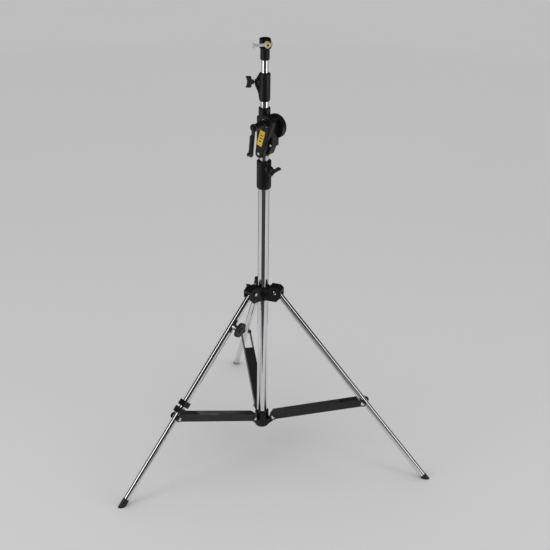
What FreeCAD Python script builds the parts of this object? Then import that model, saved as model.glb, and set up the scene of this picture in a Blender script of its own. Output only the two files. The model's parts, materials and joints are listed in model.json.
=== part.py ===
import FreeCAD, Part
import math
import os

V = FreeCAD.Vector
UP = V(0, 0, 1)

# Crank lighting stand, all sizes in millimetres. The origin is on the mast
# axis at floor level, +Z runs up the mast.

# ---- driving dimensions: overall --------------------------------------------
HEAD_TOP = 1678.0            # floor to the top of the spigot socket
FOOT_RADIUS = 680.0          # mast axis to the point where a leg axis meets the floor
LEG_PIVOT_HEIGHT = 700.0     # floor to the leg hinges, legs spread
HUB_PIVOT_HEIGHT = 150.0     # floor to the inner brace hinges
PIVOT_RADIUS = 54.0          # mast axis to the leg hinges and to the inner brace hinges
BRACE_JOINT_ALONG = 550.0    # leg hinge to the outer brace joint, along the leg
LEG_AZIMUTHS = {"right": 330.0, "rear": 90.0, "left": 210.0}

# ---- driving dimensions: mast tubes -----------------------------------------
TOP_TUBE_R = 12.5
TOP_TUBE_WALL = 1.5
TOP_TUBE_GAP = 0.5           # radial gap of the top tube in the column
COLUMN_WALL = 2.5
COLUMN_GAP = 0.3
RISER_WALL = 1.7
RISER_GAP = 0.5
BASE_TUBE_WALL = 2.0
RUNNING_FIT = 0.05           # radial gap of a sliding or turning fit
AIR_GAP = 0.3                # gap between parts that pass without guiding each other
TUBE_OVERHANG = 20.0         # step between the lower ends of the nested tubes

# ---- driving dimensions: castings on the mast -------------------------------
HEAD_BOTTOM = 1600.0
HEAD_SLEEVE_WALL = 4.5
HEAD_BLOCK_HEIGHT = 38.0
SOCKET_R = 14.3
SOCKET_DEPTH = 55.0
HEAD_SCREW_AZIMUTH = 275.0
HEAD_SCREW_DROP = 15.0       # head top to the screw axis
HEAD_BOSS_REACH = 22.0       # mast axis to the end of the screw boss
HEAD_SCREW_R = 6.0
SCREW_HEAD_R = 11.5
SCREW_HEAD_START = 24.0      # mast axis to the inner face of the screw head
SCREW_HEAD_LENGTH = 16.0
TOMMY_R = 5.0
TOMMY_REACH = 47.0
TOMMY_TRAVEL = 26.0
UPPER_CLAMP_TOP = 1553.0
UPPER_CLAMP_HEIGHT = 104.0
UPPER_CLAMP_WALL = 5.0
UPPER_KNOB_AZIMUTH = 170.0
UPPER_KNOB_DROP = 34.0       # clamp top to the wing knob axis
WINCH_TOP = 1426.0
WINCH_BOTTOM = 1245.0
BASE_CLAMP_TOP = 1224.0
BASE_CLAMP_HEIGHT = 111.0
BASE_CLAMP_WALL = 7.0
BASE_KNOB_AZIMUTH = 300.0
BASE_KNOB_DROP = 28.0
BASE_KNOB_TURN = -70.0       # wing turned from upright, right end up
BUSH_LENGTH = 18.0
CLAMP_BOSS_R = 13.0
KNOB_SCREW_R = 4.0

# ---- driving dimensions: leg collar and hub ---------------------------------
COLLAR_WALL = 6.95
COLLAR_BUSH_WALL = 2.0
COLLAR_RISE = 12.0           # hinge axis to the top of the collar ring
COLLAR_FALL = 39.0           # hinge axis to the bottom of the collar ring
HOOD_RISE = 23.0             # hinge axis to the top of a hood
HOOD_WALL = 4.0
HOOD_HALF_WIDTH = 20.0
HOOD_REACH = 78.0
COLLAR_KNOB_AZIMUTH = 150.0
COLLAR_BOSS_AZIMUTH = 270.0
HUB_WALL = 7.0
HUB_RISE = 15.0              # brace hinges to the top of the hub
HUB_FALL = 54.0              # brace hinges to the bottom of the hub
HUB_PLUG_DROP = 9.0
BOLT_R = 4.0
BOLT_HEAD_R = 7.0
BOLT_HEAD_THICK = 5.0

# ---- driving dimensions: legs and braces ------------------------------------
LEG_R = 12.5
LEG_WALL = 1.5
LEG_HEAD = 13.0              # leg hinge to the upper end of the leg
LEG_TIP = 17.1               # lower end of a plain leg tube to the floor, along the leg
PLUG_DEPTH = 24.0
BRACE_SIDE_GAP = 4.5         # leg tube to the inner face of a brace flange
BRACE_SHEET = 3.0
BRACE_DEPTH = 28.0
BRACE_PIVOT_DROP = 14.5      # web inner face to the pivot holes
BRACE_NOTCH = 100.0          # length of the web cut back at the outer end
BRACE_BACK = 8.0

# ---- driving dimensions: levelling leg --------------------------------------
LEVEL_FOOT_CAP = 17.0        # length of the foot cap above the end of the sliding tube
LEVEL_KNOB_ALONG = 146.0
LEVEL_TRAVEL = 250.0
LEVEL_WALL = 1.5
LEVEL_STUD_R = 4.0
LEVEL_SLOT_R = 4.6
LEVEL_KNOB_R = 31.0
LEVEL_KNOB_THICK = 13.0
LEVEL_KNOB_LIFT = 38.0       # leg axis to the middle of the knob
LEVEL_TILT = 20.0            # slot direction, turned from level towards the underside
CLAMP_SETBACK = (70.0, 40.0) # outer brace joint back to each clamp block, along the leg
CLAMP_LENGTH = 22.0
CLAMP_SIDE_GAP = 0.6         # clamp block to the brace flanges that pass it

# ---- driving dimensions: winch ----------------------------------------------
WINCH_AZIMUTH = 312.0        # direction from the mast to the gear shafts
RACK_MODULE = 2.0
RACK_TEETH = 12
RACK_DEPTH = 1.25            # column surface to the pitch line of the rack
RACK_BACKLASH = 0.2
RACK_HALF_WIDTH = 4.0
LIFT_TRAVEL = 700.0
GEAR_MODULE = 1.5
GEAR_TEETH = 40
PINION_TEETH = 12
GEAR_BACKLASH = 0.2
GEAR_ADDENDUM = 1.1
PRESSURE_ANGLE = 20.0
CRANK_STEP = 9.35            # drive shaft to the crank shaft, away from the mast
CRANK_DROP = 43.0            # winch top to the crank shaft
SHAFT_R = 6.0
SHAFT_BUSH_R = 8.5
WINCH_WALL = 4.0
BODY_STEP = 0.5              # side plates standing proud of the winch barrel
DRUM_GAP = 1.65              # gear tips to the inside of the drum
DRUM_WALL = 3.0
DRUM_LENGTH = 17.0
COVER_LENGTH = 20.0
COVER_BOLT_STEP = 1.0        # cover plate standing proud of the winch block
WINCH_BLOCK_STEP = 16.4      # crank shaft to the far end of the winch block
COVER_TOP_R = 29.0
COVER_LOW_R = 18.0
COVER_LOW_X = 8.0
COVER_LOW_DROP = 164.0       # winch top to the centre of the cover's lower end
CRANK_HUB_LENGTH = 72.0
CRANK_HUB_R = 14.5
CRANK_HUB_TIP_R = 10.0
CRANK_ARM_LENGTH = 101.0
CRANK_ARM_THICK = 5.0
CRANK_ARM_HALF = 6.5
CRANK_ARM_TILT = 5.5         # arm turned from hanging straight down towards the mast
GRIP_R = 5.4
GRIP_LENGTH = 62.0
GRIP_OFFSET = 8.0            # outer face of the arm to the middle of the folded grip

# ---- worked out from the driving dimensions ---------------------------------
COLUMN_BORE_R = TOP_TUBE_R + TOP_TUBE_GAP
COLUMN_R = COLUMN_BORE_R + COLUMN_WALL
RISER_BORE_R = COLUMN_R + COLUMN_GAP
RISER_R = RISER_BORE_R + RISER_WALL
BASE_BORE_R = RISER_R + RISER_GAP
BASE_TUBE_R = BASE_BORE_R + BASE_TUBE_WALL
HEAD_SLEEVE_R = TOP_TUBE_R + HEAD_SLEEVE_WALL
UPPER_CLAMP_R = COLUMN_R + UPPER_CLAMP_WALL
BASE_CLAMP_R = BASE_TUBE_R + BASE_CLAMP_WALL
COLLAR_R = BASE_TUBE_R + RUNNING_FIT + COLLAR_BUSH_WALL + COLLAR_WALL
HUB_R = BASE_TUBE_R + HUB_WALL
HUB_TOP = HUB_PIVOT_HEIGHT + HUB_RISE
HUB_BOTTOM = HUB_PIVOT_HEIGHT - HUB_FALL
BRACE_INNER_HALF = LEG_R + BRACE_SIDE_GAP
SPACER_END = LEG_R + AIR_GAP
CLAMP_ALONG = [BRACE_JOINT_ALONG - setback for setback in CLAMP_SETBACK]
CLAMP_HALF_WIDTH = BRACE_INNER_HALF - CLAMP_SIDE_GAP
LEG_ANGLE = math.atan2(LEG_PIVOT_HEIGHT, FOOT_RADIUS - PIVOT_RADIUS)
JOINT_R = PIVOT_RADIUS + BRACE_JOINT_ALONG * math.cos(LEG_ANGLE)
JOINT_Z = LEG_PIVOT_HEIGHT - BRACE_JOINT_ALONG * math.sin(LEG_ANGLE)
BRACE_ANGLE = math.atan2(JOINT_Z - HUB_PIVOT_HEIGHT, JOINT_R - PIVOT_RADIUS)
BRACE_LENGTH = math.hypot(JOINT_Z - HUB_PIVOT_HEIGHT, JOINT_R - PIVOT_RADIUS)
LEG_REACH = math.hypot(LEG_PIVOT_HEIGHT, FOOT_RADIUS - PIVOT_RADIUS)
LEG_TUBE_LENGTH = LEG_REACH - LEG_TIP
LEVEL_OUTER_LENGTH = LEG_TUBE_LENGTH - LEVEL_FOOT_CAP
BASE_CLAMP_BOTTOM = BASE_CLAMP_TOP - BASE_CLAMP_HEIGHT
UPPER_CLAMP_BOTTOM = UPPER_CLAMP_TOP - UPPER_CLAMP_HEIGHT
RISER_BOTTOM = HUB_BOTTOM + 2 * TUBE_OVERHANG
COLUMN_BOTTOM = RISER_BOTTOM + TUBE_OVERHANG
TOP_TUBE_BOTTOM = COLUMN_BOTTOM + TUBE_OVERHANG
RACK_R = RACK_MODULE * RACK_TEETH / 2
GEAR_R = GEAR_MODULE * GEAR_TEETH / 2
PINION_R = GEAR_MODULE * PINION_TEETH / 2
RACK_PITCH_LINE = COLUMN_R - RACK_DEPTH
CRANK_Z = WINCH_TOP - CRANK_DROP
DRIVE_X = RACK_PITCH_LINE + RACK_R
CRANK_X = DRIVE_X + CRANK_STEP
WINCH_BLOCK_REACH = CRANK_X + WINCH_BLOCK_STEP
BODY_HALF = RISER_R + WINCH_WALL + BODY_STEP
GEARS_HALF = (GEAR_R + GEAR_ADDENDUM + GEAR_R + PINION_R + PINION_R + GEAR_MODULE) / 2
DRUM_R = GEARS_HALF + DRUM_GAP + DRUM_WALL
DRIVE_Z = CRANK_Z - math.sqrt((GEAR_R + PINION_R) ** 2 - (CRANK_X - DRIVE_X) ** 2)
RISER_TOP = DRIVE_Z - RACK_R - 30.0
COVER_LOW_Z = WINCH_TOP - COVER_LOW_DROP


# ---- shape helpers ----------------------------------------------------------
def radial(azimuth):
    """Level unit vector at an azimuth in degrees."""
    a = math.radians(azimuth)
    return V(math.cos(a), math.sin(a), 0)


def placed(shape, origin, x_dir, y_dir):
    """Move a shape from its local frame to one with the given origin and axes."""
    z_dir = x_dir.cross(y_dir)
    matrix = FreeCAD.Matrix(x_dir.x, y_dir.x, z_dir.x, origin.x,
                            x_dir.y, y_dir.y, z_dir.y, origin.y,
                            x_dir.z, y_dir.z, z_dir.z, origin.z,
                            0, 0, 0, 1)
    moved = shape.copy()
    moved.Placement = FreeCAD.Placement(matrix).multiply(moved.Placement)
    return moved


def rod(start, direction, radius, length):
    """Cylinder from a start point along a direction."""
    return Part.makeCylinder(radius, length, start, direction)


def pipe(start, direction, outer, inner, length):
    """Tube from a start point along a direction."""
    return rod(start, direction, outer, length).cut(rod(start, direction, inner, length))


def mast_pipe(low, high, outer, inner):
    """Tube on the mast axis between two heights."""
    return pipe(V(0, 0, low), UP, outer, inner, high - low)


def mast_rod(low, high, radius):
    """Solid cylinder on the mast axis between two heights."""
    return rod(V(0, 0, low), UP, radius, high - low)


def box(x0, x1, y0, y1, z0, z1):
    """Box given by its limits."""
    return Part.makeBox(x1 - x0, y1 - y0, z1 - z0, V(x0, y0, z0))


def turned(profile, start, direction):
    """Body of revolution from (radius, distance) points along an axis."""
    points = [V(r, 0, h) for r, h in profile]
    face = Part.Face(Part.makePolygon(points + [points[0]]))
    body = face.revolve(V(0, 0, 0), UP, 360)
    body.Placement = FreeCAD.Placement(start, FreeCAD.Rotation(UP, direction))
    return body


def plate(points, half_width):
    """Plate across local Y from an outline of (x, z) points."""
    corners = [V(x, -half_width, z) for x, z in points]
    face = Part.Face(Part.makePolygon(corners + [corners[0]]))
    return face.extrude(V(0, 2 * half_width, 0))


def join(first, *others):
    """Fuse shapes and merge their shared faces."""
    return first.fuse(list(others)).removeSplitter()


def group(shapes):
    """Separate solids that share one node."""
    return Part.makeCompound(shapes)


def softened(shape, radius, keep=lambda edge: True):
    """Round the edges that pass the test."""
    edges = [edge for edge in shape.Edges if keep(edge)]
    return shape.makeFillet(radius, edges)


def in_leg(shape, azimuth):
    """From leg frame to stand: X down the leg, Y level across it, Z its upper side."""
    out = radial(azimuth)
    along = out * math.cos(LEG_ANGLE) - UP * math.sin(LEG_ANGLE)
    origin = out * PIVOT_RADIUS + UP * LEG_PIVOT_HEIGHT
    return placed(shape, origin, along, UP.cross(out))


def in_brace(shape, azimuth):
    """From brace frame to stand: X out along the brace, Y level across it."""
    out = radial(azimuth)
    along = out * math.cos(BRACE_ANGLE) + UP * math.sin(BRACE_ANGLE)
    origin = out * PIVOT_RADIUS + UP * HUB_PIVOT_HEIGHT
    return placed(shape, origin, along, UP.cross(out))


def in_azimuth(shape, azimuth):
    """From a radial frame to the stand: X outwards at the azimuth, Z up."""
    out = radial(azimuth)
    return placed(shape, V(0, 0, 0), out, UP.cross(out))


def wing_knob(azimuth, height, start, tip, span, turn=0.0):
    """Wing knob on a radial screw: hub, wing bar and the screw's thread."""
    hub_r = 9.0
    wing_half = 6.5
    profile = [(0, start), (hub_r, start), (hub_r - 1.5, start + 14), (0, start + 14)]
    hub = turned(profile, V(0, 0, 0), V(1, 0, 0))
    bar = box(start + 7, start + 33, -wing_half, wing_half, -span / 2, span / 2)
    bar = softened(bar, 5.5)
    bar.rotate(V(0, 0, 0), V(1, 0, 0), turn)
    screw = rod(V(tip, 0, 0), V(1, 0, 0), KNOB_SCREW_R, start + 5 - tip)
    knob = join(hub, bar, screw)
    knob.translate(V(0, 0, height))
    return in_azimuth(knob, azimuth)


# ---- base mast: fixed to the floor end --------------------------------------
def base_tube():
    """Lowest mast tube, with a hole for the clamp screw."""
    tube = mast_pipe(HUB_BOTTOM, BASE_CLAMP_TOP - BUSH_LENGTH, BASE_TUBE_R, BASE_BORE_R)
    hole = rod(UP * (BASE_CLAMP_TOP - BASE_KNOB_DROP), radial(BASE_KNOB_AZIMUTH),
               KNOB_SCREW_R + AIR_GAP, BASE_TUBE_R + 5)
    return tube.cut(hole)


def base_plug():
    """Plug that closes the lower end of the base tube."""
    profile = [(0, 0), (BASE_TUBE_R - 3, 0), (BASE_TUBE_R, 3), (BASE_TUBE_R, HUB_PLUG_DROP),
               (BASE_BORE_R, HUB_PLUG_DROP), (BASE_BORE_R, HUB_PLUG_DROP + 14), (0, HUB_PLUG_DROP + 14)]
    return turned(profile, UP * (HUB_BOTTOM - HUB_PLUG_DROP), UP)


def hub_casting():
    """Hub on the base tube with three lugs that carry the braces."""
    nose_r = 12.0
    root = HUB_R - 7
    barrel = turned([(BASE_TUBE_R, HUB_BOTTOM), (HUB_R - 3, HUB_BOTTOM), (HUB_R, HUB_BOTTOM + 3),
                     (HUB_R, HUB_TOP - 5), (HUB_R - 4, HUB_TOP), (BASE_TUBE_R, HUB_TOP)], V(0, 0, 0), UP)
    diagonal = nose_r * math.sqrt(0.5)
    outline = [(root, HUB_BOTTOM + 2), (root, HUB_PIVOT_HEIGHT - 22),
               (PIVOT_RADIUS - 9.8, HUB_PIVOT_HEIGHT - 6.9), (PIVOT_RADIUS, HUB_PIVOT_HEIGHT),
               (PIVOT_RADIUS + diagonal, HUB_PIVOT_HEIGHT - diagonal)]
    half = BRACE_INNER_HALF - AIR_GAP
    centre = V(PIVOT_RADIUS, -half, HUB_PIVOT_HEIGHT)
    lug = join(plate(outline, half), rod(centre, V(0, 1, 0), nose_r, 2 * half))
    lug = lug.cut(rod(centre, V(0, 1, 0), BOLT_R, 2 * half))
    hub = join(barrel, *[in_azimuth(lug, azimuth) for azimuth in LEG_AZIMUTHS.values()])
    return hub.cut(mast_rod(HUB_BOTTOM - 5, HUB_TOP + 5, BASE_TUBE_R))


def cross_bolt(centre, half_grip):
    """Bolt across local Y with a domed head on the -Y side and a thread past the nut."""
    head = turned([(0, 0), (BOLT_HEAD_R, 0), (BOLT_HEAD_R, BOLT_HEAD_THICK - 2),
                   (BOLT_HEAD_R - 3, BOLT_HEAD_THICK), (0, BOLT_HEAD_THICK)],
                  centre - V(0, half_grip, 0), V(0, -1, 0))
    shank = rod(centre - V(0, half_grip, 0), V(0, 1, 0), BOLT_R, 2 * half_grip + BOLT_HEAD_THICK + 1)
    return join(head, shank)


def cross_nut(centre, half_grip):
    """Hexagon nut on the +Y end of a cross bolt."""
    corners = [V(BOLT_HEAD_R * math.cos(math.radians(60 * i)), 0, BOLT_HEAD_R * math.sin(math.radians(60 * i)))
               for i in range(7)]
    nut = Part.Face(Part.makePolygon(corners)).extrude(V(0, BOLT_HEAD_THICK, 0))
    nut.translate(centre + V(0, half_grip, 0))
    return nut.cut(rod(centre, V(0, 1, 0), BOLT_R, half_grip + 20))


def pivot_set(maker, height, half_grip):
    """One fastener at each of the three hinges of a ring."""
    centre = V(PIVOT_RADIUS, 0, height)
    return group([in_azimuth(maker(centre, half_grip), azimuth) for azimuth in LEG_AZIMUTHS.values()])


def mast_clamp(top, height, radius, bore, azimuth, knob_drop, boss_r, boss_end):
    """Clamp casting on the mast: rounded barrel, a boss for the knob screw and its gusset."""
    low = top - height
    wall = radius - bore
    barrel = turned([(bore, low), (bore + 0.2 * wall, low), (radius - 0.3 * wall, low + 3), (radius, low + 9),
                     (radius, top - 3), (radius - 3, top), (bore, top)], V(0, 0, 0), UP)
    knob_z = top - knob_drop
    boss = turned([(0, bore), (boss_r + 3, bore), (boss_r + 3, radius - 2), (boss_r, radius + 5),
                   (boss_r, boss_end - 2), (boss_r - 2, boss_end), (0, boss_end)], V(0, 0, 0), V(1, 0, 0))
    boss.translate(V(0, 0, knob_z))
    outline = [(bore, low + 10), (radius, low + 10), (radius + 3, low + 32), (boss_end - 1, knob_z - boss_r),
               (boss_end - 1, knob_z + boss_r / 2), (radius, top - 4), (bore, top - 4)]
    gusset = softened(plate(outline, 7), 3,
                      lambda edge: edge.BoundBox.XMin > bore + 1 and edge.BoundBox.YLength < 0.1)
    body = join(barrel, in_azimuth(boss, azimuth), in_azimuth(gusset, azimuth))
    body = body.cut(mast_rod(low - 5, top + 5, bore))
    return body.cut(rod(UP * knob_z, radial(azimuth), KNOB_SCREW_R + AIR_GAP, boss_end + 20))


def base_clamp():
    """Lower mast clamp, fixed on top of the base tube."""
    return mast_clamp(BASE_CLAMP_TOP, BASE_CLAMP_HEIGHT, BASE_CLAMP_R, BASE_TUBE_R,
                      BASE_KNOB_AZIMUTH, BASE_KNOB_DROP, CLAMP_BOSS_R, BASE_CLAMP_R + 13)


# ---- leg collar -------------------------------------------------------------
def hood():
    """One leg hood in the radial frame: two cheeks under a cover."""
    z = LEG_PIVOT_HEIGHT
    low = z - COLLAR_FALL
    top = z + HOOD_RISE
    ring_top = z + COLLAR_RISE
    root = COLLAR_R - 7
    outer = plate([(root, low), (root, ring_top), (COLLAR_R + 2, ring_top), (COLLAR_R + 4, top),
                   (HOOD_REACH - 12, top), (HOOD_REACH, top - 11), (HOOD_REACH, z - 18),
                   (HOOD_REACH - 18, low)], HOOD_HALF_WIDTH)
    outer = softened(outer, 3, lambda edge: edge.BoundBox.XMax > COLLAR_R + 1 and edge.BoundBox.XLength > 1)
    slot_x = COLLAR_R + HOOD_WALL
    slot_top = top - HOOD_WALL
    slot_end = HOOD_REACH - HOOD_WALL
    slot = plate([(slot_x, low - 10), (slot_x, slot_top), (HOOD_REACH - 13.6, slot_top),
                  (slot_end, slot_top - 8.8), (slot_end, z + 1), (HOOD_REACH + 10, z + 1),
                  (HOOD_REACH + 10, low - 10)], LEG_R + 0.7)
    hole = rod(V(PIVOT_RADIUS, -HOOD_HALF_WIDTH, z), V(0, 1, 0), BOLT_R, 2 * HOOD_HALF_WIDTH)
    return outer.cut(slot).cut(hole)


def leg_collar():
    """Sliding collar with three leg hoods, a knob boss and a small front boss."""
    z = LEG_PIVOT_HEIGHT
    bore = BASE_TUBE_R + RUNNING_FIT + COLLAR_BUSH_WALL
    ring = turned([(bore, z - COLLAR_FALL), (COLLAR_R - 2, z - COLLAR_FALL), (COLLAR_R, z - COLLAR_FALL + 2),
                   (COLLAR_R, z + COLLAR_RISE - 2), (COLLAR_R - 2, z + COLLAR_RISE), (bore, z + COLLAR_RISE)],
                  V(0, 0, 0), UP)
    middle = z - 13
    knob_boss = rod(V(bore, 0, middle), V(1, 0, 0), 10, COLLAR_R + 9 - bore)
    front_boss = rod(V(bore, 0, middle), V(1, 0, 0), 10, COLLAR_R + 6 - bore)
    front_boss = softened(front_boss, 3, lambda edge: edge.BoundBox.XMin > COLLAR_R + 5)
    front_boss = front_boss.cut(rod(V(COLLAR_R - 1, 0, middle), V(1, 0, 0), 4.5, 20))
    hoods = [in_azimuth(hood(), azimuth) for azimuth in LEG_AZIMUTHS.values()]
    body = join(ring, in_azimuth(knob_boss, COLLAR_KNOB_AZIMUTH),
                in_azimuth(front_boss, COLLAR_BOSS_AZIMUTH), *hoods)
    body = body.cut(mast_rod(z - COLLAR_FALL - 5, z + COLLAR_RISE + 5, bore))
    return body.cut(rod(UP * middle, radial(COLLAR_KNOB_AZIMUTH), KNOB_SCREW_R + AIR_GAP, COLLAR_R + 30))


def collar_bush():
    """Plastic lining of the leg collar."""
    z = LEG_PIVOT_HEIGHT
    inner = BASE_TUBE_R + RUNNING_FIT
    bush = mast_pipe(z - COLLAR_FALL, z + COLLAR_RISE, inner + COLLAR_BUSH_WALL, inner)
    return bush.cut(rod(UP * (z - 13), radial(COLLAR_KNOB_AZIMUTH), KNOB_SCREW_R + AIR_GAP, COLLAR_R))


# ---- legs -------------------------------------------------------------------
def pivot_hole(radius):
    """Cross hole at the origin of a leg or brace frame."""
    return rod(V(0, -40, 0), V(0, 1, 0), radius, 80)


def leg_tube(length):
    """Leg tube in the leg frame, drilled for its hinge bolt."""
    tube = pipe(V(-LEG_HEAD, 0, 0), V(1, 0, 0), LEG_R, LEG_R - LEG_WALL, LEG_HEAD + length)
    return tube.cut(pivot_hole(BOLT_R + 2 * RUNNING_FIT))


def on_floor(shape, azimuth):
    """Put a foot on its leg and cut it flat at floor level."""
    size = 2 * (FOOT_RADIUS + LEG_REACH)
    below = box(-size, size, -size, size, -size, 0)
    return in_leg(shape, azimuth).cut(below)


def foot_plug():
    """Plug that closes the lower end of a plain leg and stands on the floor."""
    spigot = rod(V(LEG_TUBE_LENGTH - PLUG_DEPTH, 0, 0), V(1, 0, 0), LEG_R - LEG_WALL, PLUG_DEPTH + 1)
    tip = rod(V(LEG_TUBE_LENGTH, 0, 0), V(1, 0, 0), LEG_R, LEG_REACH - LEG_TUBE_LENGTH + 3 * LEG_R)
    return join(spigot, tip)


def level_direction():
    """Direction of the levelling stud in the leg frame."""
    tilt = math.radians(LEVEL_TILT)
    return V(0, math.cos(tilt), -math.sin(tilt))


def level_outer_tube():
    """Outer tube of the levelling leg with the slot for its stud."""
    tube = leg_tube(LEVEL_OUTER_LENGTH)
    side = level_direction()
    slot = box(LEVEL_KNOB_ALONG, LEVEL_KNOB_ALONG + LEVEL_TRAVEL, 0, LEG_R + 5, -LEVEL_SLOT_R, LEVEL_SLOT_R)
    slot = placed(slot, V(0, 0, 0), V(1, 0, 0), side)
    ends = [rod(V(along, 0, 0), side, LEVEL_SLOT_R, LEG_R + 5)
            for along in (LEVEL_KNOB_ALONG, LEVEL_KNOB_ALONG + LEVEL_TRAVEL)]
    return tube.cut(slot).cut(ends[0]).cut(ends[1])


def leg_clamp(index, along):
    """Clamp block round the levelling leg in the leg frame."""
    block = box(along, along + CLAMP_LENGTH, -CLAMP_HALF_WIDTH, CLAMP_HALF_WIDTH,
                -LEG_R - 4, LEG_R + 5 + 3 * index)
    block = softened(block, 3.5, lambda edge: edge.BoundBox.XLength > CLAMP_LENGTH - 1)
    return block.cut(rod(V(along - 1, 0, 0), V(1, 0, 0), LEG_R, CLAMP_LENGTH + 2))


def level_inner_tube():
    """Sliding tube of the levelling leg."""
    outer = LEG_R - LEG_WALL - RUNNING_FIT
    start = LEVEL_KNOB_ALONG - 10
    tube = pipe(V(start, 0, 0), V(1, 0, 0), outer, outer - LEVEL_WALL, LEG_TUBE_LENGTH - start)
    return tube.cut(rod(V(LEVEL_KNOB_ALONG, 0, 0), level_direction(), LEVEL_STUD_R, LEG_R))


def level_block():
    """Threaded block in the upper end of the sliding tube."""
    radius = LEG_R - LEG_WALL - RUNNING_FIT - LEVEL_WALL
    block = rod(V(LEVEL_KNOB_ALONG - 10, 0, 0), V(1, 0, 0), radius, 24)
    return block.cut(rod(V(LEVEL_KNOB_ALONG, 0, 0), level_direction(), LEVEL_STUD_R, LEG_R))


def level_stud():
    """Stud that the levelling knob screws on."""
    return rod(V(LEVEL_KNOB_ALONG, 0, 0), level_direction(), LEVEL_STUD_R, LEVEL_KNOB_LIFT)


def level_saddle():
    """Saddle washer under the levelling knob, hollowed to the leg tube."""
    face = LEVEL_KNOB_LIFT - LEVEL_KNOB_THICK / 2 - AIR_GAP
    side = level_direction()
    base = V(LEVEL_KNOB_ALONG, 0, 0)
    saddle = join(rod(base, side, 11, LEG_R + 6), rod(base + side * (LEG_R + 6), side, 8, face - LEG_R - 6))
    saddle = saddle.cut(rod(V(LEVEL_KNOB_ALONG - 30, 0, 0), V(1, 0, 0), LEG_R + AIR_GAP, 60))
    return saddle.cut(rod(base, side, LEVEL_STUD_R, LEVEL_KNOB_LIFT))


def level_knob():
    """Large lobed knob that locks the levelling leg."""
    lobe_r = 7.5
    low = LEVEL_KNOB_LIFT - LEVEL_KNOB_THICK / 2
    side = level_direction()
    disc = rod(V(0, 0, 0), V(0, 0, 1), LEVEL_KNOB_R - lobe_r, LEVEL_KNOB_THICK)
    lobes = [rod(radial(60 * i) * (LEVEL_KNOB_R - lobe_r), UP, lobe_r, LEVEL_KNOB_THICK) for i in range(6)]
    knob = join(disc, *lobes)
    knob = softened(knob, 2, lambda edge: edge.BoundBox.ZLength < 0.01)
    knob = join(knob, rod(V(0, 0, LEVEL_KNOB_THICK), UP, 11, 3))
    knob = knob.cut(rod(V(0, 0, -1), UP, LEVEL_STUD_R + RUNNING_FIT, LEVEL_KNOB_THICK - 2))
    base = V(LEVEL_KNOB_ALONG, 0, 0) + side * low
    return placed(knob, base, V(1, 0, 0), side.cross(V(1, 0, 0)))


def level_foot():
    """Foot cap of the levelling leg, fixed on the sliding tube."""
    start = LEVEL_OUTER_LENGTH + 2.5
    cap = rod(V(start, 0, 0), V(1, 0, 0), LEG_R, LEG_REACH - start + 3 * LEG_R)
    bore = rod(V(start - 1, 0, 0), V(1, 0, 0), LEG_R - LEG_WALL - RUNNING_FIT, LEG_TUBE_LENGTH - start + 1)
    return cap.cut(bore)


# ---- braces -----------------------------------------------------------------
def brace():
    """Brace channel, open below; the web is cut back so the leg can pass between the flanges."""
    half = BRACE_INNER_HALF + BRACE_SHEET
    top = BRACE_PIVOT_DROP + BRACE_SHEET
    low = top - BRACE_DEPTH
    end_r = 12.5
    body = join(box(-BRACE_BACK, BRACE_LENGTH, -half, half, low, top),
                rod(V(0, -half, 0), V(0, 1, 0), end_r, 2 * half),
                rod(V(BRACE_LENGTH, -half, 0), V(0, 1, 0), end_r, 2 * half))
    inside = box(-40, BRACE_LENGTH + 40, -BRACE_INNER_HALF, BRACE_INNER_HALF, low - 20, BRACE_PIVOT_DROP)
    notch = box(BRACE_LENGTH - BRACE_NOTCH, BRACE_LENGTH + 40, -BRACE_INNER_HALF, BRACE_INNER_HALF, 0, top + 5)
    body = body.cut(inside).cut(notch).cut(pivot_hole(BOLT_R + 2 * RUNNING_FIT))
    return body.cut(rod(V(BRACE_LENGTH, -half, 0), V(0, 1, 0), BOLT_R, 2 * half))


def brace_bolts(spaced):
    """Stub bolt on each flange at the outer end of a brace, with a spacer to a plain leg.

    The clamp blocks of the levelling leg pass between the flanges, so there the bolts end flush.
    """
    half = BRACE_INNER_HALF + BRACE_SHEET
    width = BRACE_INNER_HALF - SPACER_END
    shank_length = BRACE_SHEET + width if spaced else BRACE_SHEET
    fasteners = []
    for side in (-1, 1):
        head = turned([(0, 0), (BOLT_HEAD_R, 0), (BOLT_HEAD_R, BOLT_HEAD_THICK - 2),
                       (BOLT_HEAD_R - 3, BOLT_HEAD_THICK), (0, BOLT_HEAD_THICK)],
                      V(BRACE_LENGTH, side * half, 0), V(0, side, 0))
        fasteners.append(join(head, rod(V(BRACE_LENGTH, side * half, 0), V(0, -side, 0), BOLT_R, shank_length)))
        if spaced:
            start = V(BRACE_LENGTH, side * SPACER_END, 0)
            fasteners.append(pipe(start, V(0, side, 0), 2 * BOLT_R, BOLT_R, width))
    return group(fasteners)


# ---- riser and winch --------------------------------------------------------
def gear_outline(module, teeth, addendum, dedendum, backlash):
    """Closed outline of an involute gear in XZ, one tooth centred on +X."""
    pitch_r = module * teeth / 2
    pressure = math.radians(PRESSURE_ANGLE)
    base_r = pitch_r * math.cos(pressure)
    root_r = pitch_r - dedendum
    tip_r = pitch_r + addendum
    half_tooth = math.pi / (2 * teeth) - backlash / (2 * pitch_r)
    start_r = max(base_r, root_r)
    steps = 4
    flank = []
    for i in range(steps + 1):
        r = start_r + (tip_r - start_r) * i / steps
        slope = math.acos(min(1.0, base_r / r))
        roll = math.tan(slope) - slope
        flank.append((r, half_tooth + math.tan(pressure) - pressure - roll))
    if root_r < start_r:
        flank.insert(0, (root_r, flank[0][1]))
    points = []
    for tooth in range(teeth):
        middle = 2 * math.pi * tooth / teeth
        rising = [(r, middle - a) for r, a in flank]
        falling = [(r, middle + a) for r, a in reversed(flank)]
        points += [(r * math.cos(a), r * math.sin(a)) for r, a in rising + falling]
    return points


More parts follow.
